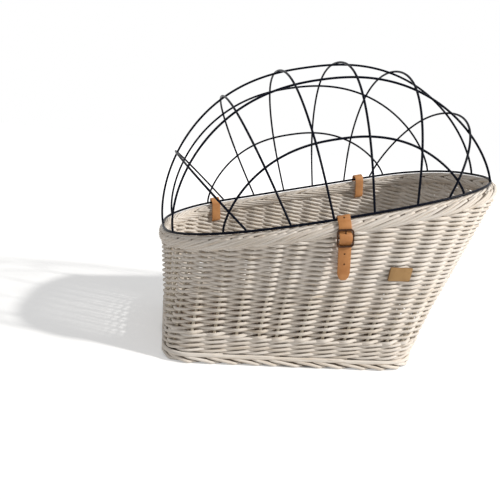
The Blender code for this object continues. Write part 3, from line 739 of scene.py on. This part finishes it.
def build_top_border():
    outer, inner = Bundle(ROUND_SIDES), Bundle(ROUND_SIDES)
    for k in range(2 * STAKES):
        rear = 0.5 - 0.5 * math.cos(TURN * (k // 2) / STAKES)
        span, step = (a + (b - a) * rear for a, b in (BORDER_SPANS, BORDER_PAIR_STEPS))
        start = k // 2 + step * (k % 2) + drift(BORDER_DRIFT)
        t = np.linspace(0, 1, OUTER_STEPS)
        degrees = OUTER_DEGREES[0] + OUTER_DEGREES[1] * t + wobble(t * 6, 2.5, 1.5)
        crown = OUTER_CROWN * np.sin(math.pi * t)
        inset = BORDER_ROD - crown + sunk_ends(t, OUTER_ENDS)
        radius = BORDER_ROD * (OUTER_ROD_SHARE + OUTER_REAR_SHARE * rear - OUTER_THINNING * t)
        radius = radius * (1 + wobble(t * 6, 0.03, 2.0))
        outer.add(wall.on_border(start + span * t, degrees, inset), radius, ref=RIM_NORMAL)
        t = np.linspace(0, 1, INNER_STEPS)
        for ahead, run, angle, turn, inset_share, rod_share, ends in INNER_COURSES:
            degrees = angle + turn * t + wobble(t * 4, 3.0, 1.5)
            inset = BORDER_ROD * inset_share + sunk_ends(t, ends)
            path = wall.on_border(start + ahead + run * t, degrees, inset)
            inner.add(path, BORDER_ROD * rod_share, ref=RIM_NORMAL)
    outer.build("border_rods", BORDER_RODS, "basket", "willow", "top_border")
    inner.build("border_rods_inner", BORDER_RODS, "basket", "willow", "top_border")
    # A dark core under the rods: painted shade in the border's recesses.
    core = Bundle(12)
    path = wall.on_rim(np.arange(STAKES * 4) / 4, 0, BORDER_MIDDLE)
    core.add(path, BORDER_DEPTH * BORDER_CORE_SHARE, ref=RIM_NORMAL, closed=True,
             flat=BORDER_CORE_FLATNESS)
    core.build("border_core", CORE_PAINTED_SHADE_LOOK, "basket", "willow")


def build_foot_border():
    bundle = Bundle(ROUND_SIDES)
    edge = FOOT_WIDTH / 2 - FOOT_ROD + FOOT_PROUD
    t = np.linspace(0, 1, 30)
    rise = FOOT_RISE[0] + FOOT_RISE[1] * np.clip(t / FOOT_FALL_SHARE, 0, 1)
    for k in range(STAKES):
        s = k + FOOT_RUN[0] + drift(FOOT_DRIFT) + FOOT_RUN[1] * t
        height = rise + wobble(t * 3, 0.0002, 2.0)
        radius = FOOT_ROD * (1 - FOOT_THINNING * t)
        aside = edge - sunk_ends(t, FOOT_ENDS)
        bundle.add(wall.on_foot(s, np.maximum(height, radius), aside), radius)
    t = np.linspace(0, 1, 64)
    aside = FOOT_WIDTH / 2 - BAND_ROD + BAND_PROUD - sunk_ends(t, BAND_ENDS)
    for k in range(STAKES // BAND_STAKES):
        s = BAND_STAKES * k + BAND_SPAN * t + drift(BAND_DRIFT)
        height = BAND_RISE[0] + BAND_RISE[1] * t + wobble(t * 4, 0.0002, 2.0)
        bundle.add(wall.on_foot(s, height, aside), BAND_ROD * (1 - BAND_THINNING * t))
    bundle.build("foot_rods", BORDER_RODS, "basket", "willow", "foot_border")
    # A dark core under the rods: painted shade in the foot border's recesses.
    core = Bundle(10)
    s = np.arange(STAKES * 4) / 4
    for height in FOOT_CORE_HEIGHTS:
        for aside in FOOT_CORE_ASIDES:
            core.add(wall.on_foot(s, height, aside), FOOT_CORE_RADIUS, closed=True)
    core.build("foot_core", CORE_PAINTED_SHADE_LOOK, "basket", "willow")


def base_reach(x):
    """Half the clear width of the bottom at x, inside the foot border."""
    inset = FOOT_WIDTH + GAP
    half_length, half_width = BASE_LENGTH / 2 - inset, BASE_WIDTH / 2 - inset
    corner = (FRONT_CORNER if x < 0 else REAR_CORNER) - inset
    into = abs(x) - (half_length - corner)
    if into <= 0:
        return half_width
    return half_width - corner + math.sqrt(max(0.0, corner ** 2 - into ** 2))


def build_bottom():
    """Sticks along the basket with rods woven across them."""
    middle = BOTTOM_THICKNESS / 2 + MAT_LIFT
    half_length = BASE_LENGTH / 2 - FOOT_WIDTH - GAP
    sticks = Bundle(WEAVE_SIDES)
    spots = np.linspace(-1, 1, STICK_COUNT) * (BASE_WIDTH / 2 - FOOT_WIDTH - STICK_MARGIN)
    for y in spots:
        ends = []
        for side in (-1, 1):
            x = side * (half_length - STICK)
            while base_reach(x) < abs(y) + STICK:
                x -= side * STICK
            ends.append(x)
        x = np.linspace(ends[0], ends[1], 24)
        path = np.stack([x, np.full_like(x, y), np.full_like(x, middle)], 1)
        radius = STICK * (1 + wobble(x * 30, 0.03, 1.0))
        sticks.add(path, radius, ref=(0.0, 1.0, 0.0), flat=STICK_FLATNESS)
    sticks.build("bottom_sticks", STICKS, "basket", "willow", "bottom_panel")
    rods = Bundle(6)
    pitch = 2 * MAT_ROD * MAT_CLOSENESS
    half = half_length - MAT_ROD
    gap = spots[1] - spots[0]
    for k in range(int(2 * (half + MAT_TUCK) / pitch) + 1):
        x = -half - MAT_TUCK + k * pitch
        reach = base_reach(np.clip(x, -half, half)) - MAT_ROD + MAT_TUCK
        y = np.arange(-reach, reach, gap / 8)
        turn = math.pi * ((y - spots[0]) / gap + k)
        swing = (STICK * STICK_FLATNESS + MAT_ROD * 0.9) * np.cos(turn)
        path = np.stack([x + wobble(y * 60, 0.0003, 1.0), y, middle + swing], 1)
        rods.add(path, MAT_ROD * (1 + wobble(y * 40, 0.05, 1.0)), ref=(1.0, 0.0, 0.0))
    rods.build("bottom_rods", BOTTOM_RODS, "basket", "willow")


# The wire cage

def long_wire(end_shares, height, powers, side):
    front, rear = (share * HALF_LENGTH for share in end_shares)
    start, end = (rim_y(u, side) if side else AXIS_SHIFT for u in (front, rear))
    foot = RING_RADIUS + WELD_GAP
    a = np.linspace(0, math.pi, WIRE_STEPS + 1)
    run = -np.copysign(np.abs(np.cos(a)) ** (2 / powers[0]), np.cos(a))
    rise = np.abs(np.sin(a)) ** (2 / powers[1])
    share = (run + 1) / 2
    return np.stack([front + (rear - front) * share, start + (end - start) * share,
                     foot + (height - foot) * rise], 1)


def crossing(path, anchor, normal):
    """Where a path meets a plane, and its direction there."""
    side = (path - anchor) @ normal
    i = int(np.flatnonzero(side[:-1] * side[1:] <= 0)[0])
    share = side[i] / (side[i] - side[i + 1])
    return path[i] + (path[i + 1] - path[i]) * share, unit(path[i + 1] - path[i])


def spline(knots, steps):
    """A natural cubic curve through the knots, spaced by their distances."""
    knots = np.array(knots, float)
    where = lengths(knots)
    gaps = np.diff(where)
    count = len(knots)
    system, right = np.eye(count), np.zeros_like(knots)
    for i in range(1, count - 1):
        system[i, i - 1:i + 2] = (gaps[i - 1], 2 * (gaps[i - 1] + gaps[i]), gaps[i])
        after, before = knots[i + 1] - knots[i], knots[i] - knots[i - 1]
        right[i] = 6 * (after / gaps[i] - before / gaps[i - 1])
    bend = np.linalg.solve(system, right)
    points = []
    for s in np.linspace(0, where[-1], steps + 1):
        i = min(int(np.searchsorted(where, s, side="right")) - 1, count - 2)
        h, a, b = gaps[i], where[i + 1] - s, s - where[i]
        points.append((bend[i] * a ** 3 + bend[i + 1] * b ** 3) / (6 * h)
                      + (knots[i] / h - bend[i] * h / 6) * a
                      + (knots[i + 1] / h - bend[i + 1] * h / 6) * b)
    return np.array(points)


def hoop(base_share, top_share, wires):
    """A crosswise hoop that passes outside every lengthwise wire, and where it does."""
    base_u = base_share * HALF_LENGTH
    foot = RING_RADIUS + WELD_GAP
    near = np.array((base_u, rim_y(base_u, -1), foot))
    far = np.array((base_u, rim_y(base_u, 1), foot))
    centre = wires["centre"]
    top_u = top_share * HALF_LENGTH
    rise = np.interp(top_u, centre[:, 0], centre[:, 2])
    normal = unit(np.cross(far - near, np.array((top_u, AXIS_SHIFT, rise)) - near))
    keys = ("lower_near", "upper_near", "centre", "upper_far", "lower_far")
    meets = [crossing(wires[key], near, normal) for key in keys]
    path = np.array([near] + [point for point, _ in meets] + [far])
    for _ in range(3):
        knots, welds = [near], []
        for point, direction in meets:
            i = int(np.argmin(np.linalg.norm(path[1:-1] - point, axis=1))) + 1
            out = unit(np.cross(direction, path[i + 1] - path[i - 1]))
            out *= np.sign(out @ (point - (top_u / 2, AXIS_SHIFT, 0)))
            knots.append(point + out * (2 * WIRE_RADIUS + WELD_GAP))
            welds.append((point, knots[-1]))
        knots.append(far)
        path = spline(knots, WIRE_STEPS)
    return path, welds


def build_cage():
    wires = {"centre": long_wire(*CENTRE_WIRE, 0)}
    for height, form in (("upper", UPPER_WIRES), ("lower", LOWER_WIRES)):
        for half, side in (("near", -1), ("far", 1)):
            wires[f"{height}_{half}"] = long_wire(*form, side)
    welds = []
    down = np.array((0, 0, RING_RADIUS))
    for key, path in wires.items():
        bundle = Bundle(WIRE_SIDES)
        bundle.add(to_world(*path.T), WIRE_RADIUS + ENAMEL_COAT, ref=(0.0, 1.0, 0.0))
        name = f"long_wire_{key}"
        bundle.build(f"{name}_smooth", ENAMEL, "lid", "wire", name)
        welds += [(path[end], path[end] - down) for end in (0, -1)]
    for number, shares in enumerate(zip(HOOP_BASE_SHARES, HOOP_TOP_SHARES), 1):
        path, meets = hoop(*shares, wires)
        bundle = Bundle(WIRE_SIDES)
        points = to_world(*path.T)
        ref = unit(np.cross(points[-1] - points[0], points[len(points) // 2] - points[0]))
        bundle.add(points, WIRE_RADIUS + ENAMEL_COAT, ref=ref)
        bundle.build(f"hoop_{number}_smooth", ENAMEL, "lid", "wire", f"hoop_{number}")
        welds += meets + [(path[end], path[end] - down) for end in (0, -1)]
    ring = Bundle(14)
    path = wall.on_rim(np.arange(STAKES * 10) / 10, 0, 0)
    ring.add(path, RING_RADIUS, ref=RIM_NORMAL, closed=True)
    ring.build("lid_ring_smooth", ENAMEL, "lid", "wire", "lid_ring")
    beads = Bundle(10)
    swell = np.sin(np.linspace(BEAD_END, math.pi - BEAD_END, BEAD_STEPS))
    for inner, outer in welds:
        inner, outer = to_world(*inner), to_world(*outer)
        run = unit(outer - inner) * WIRE_RADIUS * BEAD_REACH_SHARE
        line = inner - run + (outer - inner + 2 * run) * np.linspace(0, 1, BEAD_STEPS)[:, None]
        beads.add(line, swell * WIRE_RADIUS * BEAD_SHARE, ref=(0.3, 0.8, 0.5))
    beads.build("weld_beads", ENAMEL, "lid", "wire")


# Leather and buckle

class Station:
    """A place on the ring: along the rim, outward from it, and square to it."""

    def __init__(self, share, side):
        u, step = share * HALF_LENGTH, RING_RADIUS
        self.origin = to_world(u, rim_y(u, side), 0)
        ahead = to_world(u + step, rim_y(u + step, side), 0)
        self.along = unit(ahead - to_world(u - step, rim_y(u - step, side), 0))
        self.out = unit(np.cross(self.along, RIM_NORMAL))
        self.out *= np.sign(self.out[1] * side)

    def at(self, along, out, up):
        along, out, up = (np.asarray(v, float)[..., None] for v in (along, out, up))
        return self.origin + self.along * along + self.out * out + RIM_NORMAL * up


class LoopStation(Station):
    """A loop's place on the ring. Its sides hang straight down, not square to the sloping rim."""

    def at(self, along, out, up):
        lean = math.copysign(LOOP_LEAN_SHARE, self.along[0])
        return super().at(along + lean * np.minimum(up, 0), out, up)


class StrapStation(Station):
    """The strap's place on the ring. Its up runs along the strap, which leans to the front."""

    def __init__(self):
        super().__init__(STRAP_SHARE, -1)

    def at(self, along, out, up):
        start, end = STRAP_LEAN_DROPS
        along, up = np.broadcast_arrays(np.asarray(along, float), up)
        turn = STRAP_LEAN * np.clip((-up - start) / (end - start), 0, 1)
        across = along * np.cos(turn) + up * math.sin(STRAP_LEAN)
        rise = up * math.cos(STRAP_LEAN) - along * np.sin(turn)
        return super().at(across, out, rise)


def arc(centre, radius, start, end, steps):
    a = np.radians(np.linspace(start, end, steps + 1))
    return np.stack([centre[0] + radius * np.cos(a), centre[1] + radius * np.sin(a)], 1)


def rounded_section(half_width, half_depth, corner, steps=3):
    """A strip's section as (across, through) pairs."""
    section = []
    for x, z, start in ((1, 1, 0), (-1, 1, 90), (-1, -1, 180), (1, -1, 270)):
        middle = (x * (half_width - corner), z * (half_depth - corner))
        section += list(arc(middle, corner, start, start + 90, steps))
    return np.array(section)


def add_strip(name, path, half_widths, station, look, closed=False):
    """A leather strip along a path of (out, up) places at a station."""
    normals = side_normals(path, closed)
    half_widths = np.broadcast_to(half_widths, (len(path),))
    verts, marks = [], []
    for place, normal, half, run in zip(path, normals, half_widths, lengths(path)):
        corner = LEATHER * EDGE_SHARE
        section = rounded_section(max(half, corner * 1.05), LEATHER / 2, corner)
        spot = place + normal * section[:, 1:]
        verts.append(station.at(section[:, 0], spot[:, 0], spot[:, 1]))
        rub = np.clip((np.abs(section[:, 0]) - half + EDGE_RUB) / EDGE_RUB, 0, 1)
        marks.append(np.stack([np.full(len(section), run), section[:, 0], rub], 1))
    return hide_mesh(name, verts, marks, look, closed)


def hide_mesh(name, verts, marks, look, closed=False, sharp_degrees=50):
    """Leather from rings of points, with marks for its edges."""
    quads, caps = tube_faces(len(verts), len(verts[0]), closed)
    faces = quads.tolist() + caps
    return add_mesh(name, verts, faces, "hide", marks, look, sharp_degrees)


def cut_hole(obj, start, end, radius):
    """Cuts a round hole along a line and keeps the result in the mesh."""
    tool = Bundle(20)
    tool.add(np.array([start, end]), radius, ref=(0.2, 0.3, 0.9))
    cutter = tool.mesh("cutter", obj.data.materials[0])
    mod = obj.modifiers.new("hole", "BOOLEAN")
    mod.operation = "DIFFERENCE"
    mod.solver = "EXACT"
    mod.object = cutter
    bpy.context.view_layer.update()
    result = obj.evaluated_get(bpy.context.evaluated_depsgraph_get())
    cut = bpy.data.meshes.new_from_object(result)
    obj.modifiers.clear()
    old, obj.data = obj.data, cut
    cut.name = obj.name
    cut.set_sharp_from_angle(angle=math.radians(40))
    bpy.data.meshes.remove(old)
    bpy.data.objects.remove(cutter)


def build_hinge_loops():
    reach = BORDER_WIDTH / 2 + LOOP_FIT + LEATHER / 2
    arch_middle = RING_RADIUS + LOOP_SLACK - BORDER_WIDTH / 2 - LOOP_FIT
    arch = arc((0, 0), reach, 0, 180, 28) * (1, LOOP_ARCH_SHARE) + (0, arch_middle)
    corner = LOOP_CORNER - LEATHER / 2
    low = corner - LOOP_DROP
    path = np.concatenate([
        arch,
        [(-reach, (arch_middle + low) * t) for t in (0.25, 0.5, 0.75)],
        arc((-reach + corner, low), corner, 180, 270, 8),
        arc((reach - corner, low), corner, 270, 360, 8),
        [(reach, (arch_middle + low) * t) for t in (0.75, 0.5, 0.25)],
    ])
    for end, share in zip(("front", "rear"), LOOP_SHARES):
        # The loops take the lighter tan: painted light.
        obj = add_strip(f"hinge_strap_{end}", path, LOOP_WIDTH / 2, LoopStation(share, 1),
                        LOOP_TAN_PAINTED_LIGHT, closed=True)
        dress(obj, "basket", "leather", f"hinge_loop_{end}")


def strap_knots():
    """The strap's middle line: over the ring, under both buckle bars, down the wall."""
    hook = RING_RADIUS + STRAP_FIT + LEATHER / 2
    half_depth = BORDER_DEPTH / 2 + STRAP_CLEARANCE + LEATHER / 2
    knots = list(arc((0, 0), hook, *STRAP_HOOK_DEGREES, 4))
    for a in np.radians(STRAP_SHOULDER_DEGREES):
        knots.append((STRAP_FACE * math.cos(a), BORDER_MIDDLE + half_depth * math.sin(a)))
    middle, bar = -BUCKLE_DROP, BUCKLE_HEIGHT / 2 - BUCKLE_BAR
    bulge = 2 * (BUCKLE_BAR + GAP + LEATHER / 2)
    start = middle - bar - BUCKLE_BAR
    knots += [(STRAP_FACE, middle + bar + side * BUCKLE_BAR) for side in (1, -1)]
    knots += [(STRAP_FACE + bulge * a, middle + bar * b) for a, b in STRAP_BULGE_SHARES]
    knots += [(STRAP_FACE, middle - bar + BUCKLE_BAR), (STRAP_FACE, start)]
    for share in STRAP_FALL_SHARES:
        drop = start + (-STRAP_LENGTH - start) * share
        knots.append((STRAP_FACE - STRAP_DRAW_IN * share ** 1.5, drop))
    return np.array(knots)


def build_strap():
    station = StrapStation()
    path = spline(strap_knots(), 260)
    into_tip = np.clip((-path[:, 1] - STRAP_LENGTH + TIP_LENGTH) / TIP_LENGTH, 0, 1)
    half = STRAP_WIDTH / 2 * np.sqrt(1 - TIP_NARROWING_SHARE * into_tip ** 2)
    strap = add_strip("strap_leather", path, half, station, TAN)
    rest = BUCKLE_BAR + GAP + PRONG_RADIUS
    bar = -BUCKLE_DROP + BUCKLE_HEIGHT / 2 - BUCKLE_BAR
    foot = station.at(0, BUCKLE_OUT - PRONG_RADIUS, -BUCKLE_DROP + rest)
    tip = station.at(0, BUCKLE_OUT + rest, bar)
    cut_hole(strap, foot, tip + unit(tip - foot) * BORDER_WIDTH, HOLE_RADIUS)
    backs = Bundle(16)
    normals = side_normals(path, False)
    fall = path[:, 1] < 0
    for drop in (TOP_HOLE_DROP,) + HOLE_DROPS:
        i = int(np.argmin(np.abs(path[:, 1] + drop) + 1.0 * (fall != (drop > 0))))
        ends = [path[i] + side * normals[i] * BORDER_WIDTH / 2 for side in (-1, 1)]
        cut_hole(strap, *(station.at(0, *end) for end in ends), HOLE_RADIUS)
        back = [path[i] - normals[i] * LEATHER * depth for depth in (0.45, 0.15)]
        backs.add(np.array([station.at(0, *end) for end in back]), HOLE_RADIUS * 1.02,
                  ref=station.along)
    backs.build("strap_hole_backs", SHADE, "strap", "leather")
    dress(strap, "strap", "leather", "strap")

    wide, tall = BUCKLE_WIDTH / 2 - BUCKLE_BAR, BUCKLE_HEIGHT / 2 - BUCKLE_BAR
    outline = rounded_section(wide, tall, BUCKLE_CORNER, 8)
    sides = np.linspace(0, 1, 12, endpoint=False)[:, None]
    dense = []
    for p, q in zip(outline, np.roll(outline, -1, axis=0)):
        many = sides if np.linalg.norm(q - p) > BUCKLE_BAR else sides[:1]
        dense += list(p + (q - p) * many)
    outline = np.array(dense)
    bars = Bundle(16)
    out = np.full(len(outline), BUCKLE_OUT)
    path = station.at(outline[:, 0], out, outline[:, 1] - BUCKLE_DROP)
    bars.add(path, BUCKLE_BAR, ref=station.out, closed=True)
    ends = [station.at(side * wide, BUCKLE_OUT, -BUCKLE_DROP) for side in (-1, 1)]
    path = ends[0] + (ends[1] - ends[0]) * np.linspace(0, 1, 8)[:, None]
    bars.add(path, CENTRE_BAR, ref=station.out)
    bars.build("buckle", BRONZE, "strap", "bronze", "buckle_frame")

    prong = Bundle(10)
    point = station.at(0, BUCKLE_OUT + rest, bar + BUCKLE_BAR)
    line = spline([foot, foot + (tip - foot) * 0.6, tip, point], 24)
    taper = PRONG_TAPER[0] + PRONG_TAPER[1] * np.linspace(0, 1, len(line)) ** 3
    prong.add(line, PRONG_RADIUS * taper, ref=station.along)
    prong.build("prong", BRONZE, "strap", "bronze", "buckle_prong")


def build_badge():
    """A small bare leather plate on the near wall, slightly curved to it."""
    rim = plain_wall.rim
    spots = np.flatnonzero(rim[:, 1] < AXIS_SHIFT)
    k = spots[np.argmin(np.abs(rim[spots, 0] - BADGE_SHARE * HALF_LENGTH))]
    s = plain_wall.s[k]
    foot = np.append(plain_wall.base[k], STAKE_FOOT)
    top = plain_wall.top[k]
    centre = foot + (top - foot) * BADGE_RISE_SHARE
    step = 1 / plain_wall.STEPS
    ahead = plain_wall.at([s + step], centre[2], 0)[0] - centre
    along = unit(ahead * (1, 1, 0))
    out = unit(np.cross(along, top - foot))
    out *= -np.sign(out[1])
    up = unit(np.cross(out, along))
    up *= np.sign(up[2])
    outline = rounded_section(BADGE_WIDTH / 2, BADGE_HEIGHT / 2, BADGE_THICKNESS, 5)
    verts, marks = [], []
    for shrink, rise in BADGE_RINGS:
        edge = outline * shrink
        bend = BADGE_BEND * (edge[:, :1] / BADGE_WIDTH * 2) ** 2
        lift = WALL / 2 + BADGE_SEAT + BADGE_THICKNESS * rise - bend
        verts.append(centre + along * edge[:, :1] + up * edge[:, 1:] + out * lift)
        marks.append(np.column_stack([edge, np.full(len(edge), float(rise < 1))]))
    plate = hide_mesh("badge_plate", verts, marks, BADGE_TAN, sharp_degrees=35)
    dress(plate, "basket", "badge", "badge")


def dress_tongue():
    """The hidden tongue stays as it is and gets the detailed leather."""
    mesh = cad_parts["strap_tongue"].data
    mesh.materials.clear()
    mesh.materials.append(TAN)


# Camera, light and floor

PHOTO_SIDE = 500
FOCAL_PIXELS = 570.9
CAMERA_PLACE = (-0.240, -1.026, 0.373)
CAMERA_YAW = math.radians(9.27)
CAMERA_PITCH = math.radians(-11.62)
CAMERA_ROLL = math.radians(6.05)
SENSOR = 36.0
KEY_PLACE = (7.31, -3.06, 5.69)
KEY_AIM = (0.05, 0, 0.2)
KEY_SIZE = 0.60
KEY_WATTS = 890
KEY_COLOUR = (1.0, 0.98, 0.945)
SKY_STRENGTH = 0.37
FLOOR_HALF = 12.0
# The floor's own light for the camera: how far it starts and ends, and how strong.
# Under the basket there is none, so that none shows through the weave.
GLOW_REACH = (0.9, 3.2)
GLOW_STRENGTHS = (0.36, 0.78)
GLOW_HOLE = (0.46, 0.52)


def add_camera():
    data = bpy.data.cameras.new("camera")
    data.sensor_width = SENSOR
    data.lens = SENSOR * FOCAL_PIXELS / PHOTO_SIDE
    camera = add_object("camera", data)
    yaw = Matrix.Rotation(-CAMERA_YAW, 4, "Z")
    pitch = Matrix.Rotation(math.pi / 2 + CAMERA_PITCH, 4, "X")
    roll = Matrix.Rotation(CAMERA_ROLL, 4, "Z")
    camera.matrix_world = Matrix.Translation(CAMERA_PLACE) @ yaw @ pitch @ roll
    bpy.context.scene.camera = camera


def add_lamp():
    data = bpy.data.lights.new("key", "AREA")
    data.shape = "DISK"
    data.size = KEY_SIZE
    data.energy = KEY_WATTS
    data.color = KEY_COLOUR
    lamp = add_object("key", data)
    lamp.location = KEY_PLACE
    aim = Vector(KEY_AIM) - Vector(KEY_PLACE)
    lamp.rotation_euler = aim.to_track_quat("-Z", "Y").to_euler()


def seen_rays(nodes):
    """1 where the camera, a reflection or glass looks, 0 for the light that falls on things."""
    rays = nodes.node("ShaderNodeLightPath").outputs
    seen = nodes.math("ADD", rays["Is Camera Ray"], rays["Is Glossy Ray"], clamp=True)
    return nodes.math("ADD", seen, rays["Is Transmission Ray"], clamp=True)


def add_floor():
    look = Look("pale_floor")
    place = look.place()
    grain = look.noise(place, 9.0)
    look.set(base_color=look.mix(grain, (0.80, 0.80, 0.80), (0.83, 0.83, 0.83)),
             roughness=0.9, specular_ior_level=0.1, emission_color=(1.0, 1.0, 1.0, 1.0))
    far = look.vector("LENGTH", place, output="Value")
    glow = look.span(far, *GLOW_REACH, *GLOW_STRENGTHS)
    under = look.vector("MULTIPLY", place, (1 / BASE_LENGTH, 1 / BASE_WIDTH, 0.0))
    under = look.vector("LENGTH", under, output="Value")
    glow = look.math("MULTIPLY", glow, look.span(under, *GLOW_HOLE))
    look.set(emission_strength=look.math("MULTIPLY", seen_rays(look), glow))
    mesh = bpy.data.meshes.new("floor")
    corners = [(x * FLOOR_HALF, y * FLOOR_HALF, 0) for x, y in ((-1, -1), (1, -1), (1, 1), (-1, 1))]
    mesh.from_pydata(corners, [], [(0, 1, 2, 3)])
    mesh.materials.append(look.material)
    add_object("floor", mesh)


def add_world():
    """White where it is seen, dimmer where it lights things."""
    world = bpy.data.worlds.new("studio")
    bpy.context.scene.world = world
    world.use_nodes = True
    world.node_tree.nodes.clear()
    nodes = Nodes(world.node_tree)
    strength = nodes.span(seen_rays(nodes), 0.0, 1.0, SKY_STRENGTH, 1.0)
    back = nodes.node("ShaderNodeBackground", {"Color": (1, 1, 1, 1), "Strength": strength})
    nodes.node("ShaderNodeOutputWorld", {"Surface": back.outputs[0]})


build_weave()
build_stakes()
build_waling()
build_top_border()
build_foot_border()
build_bottom()
build_cage()
build_hinge_loops()
build_strap()
build_badge()
dress_tongue()
add_camera()
add_lamp()
add_floor()
add_world()
bpy.context.scene.view_settings.view_transform = "Standard"
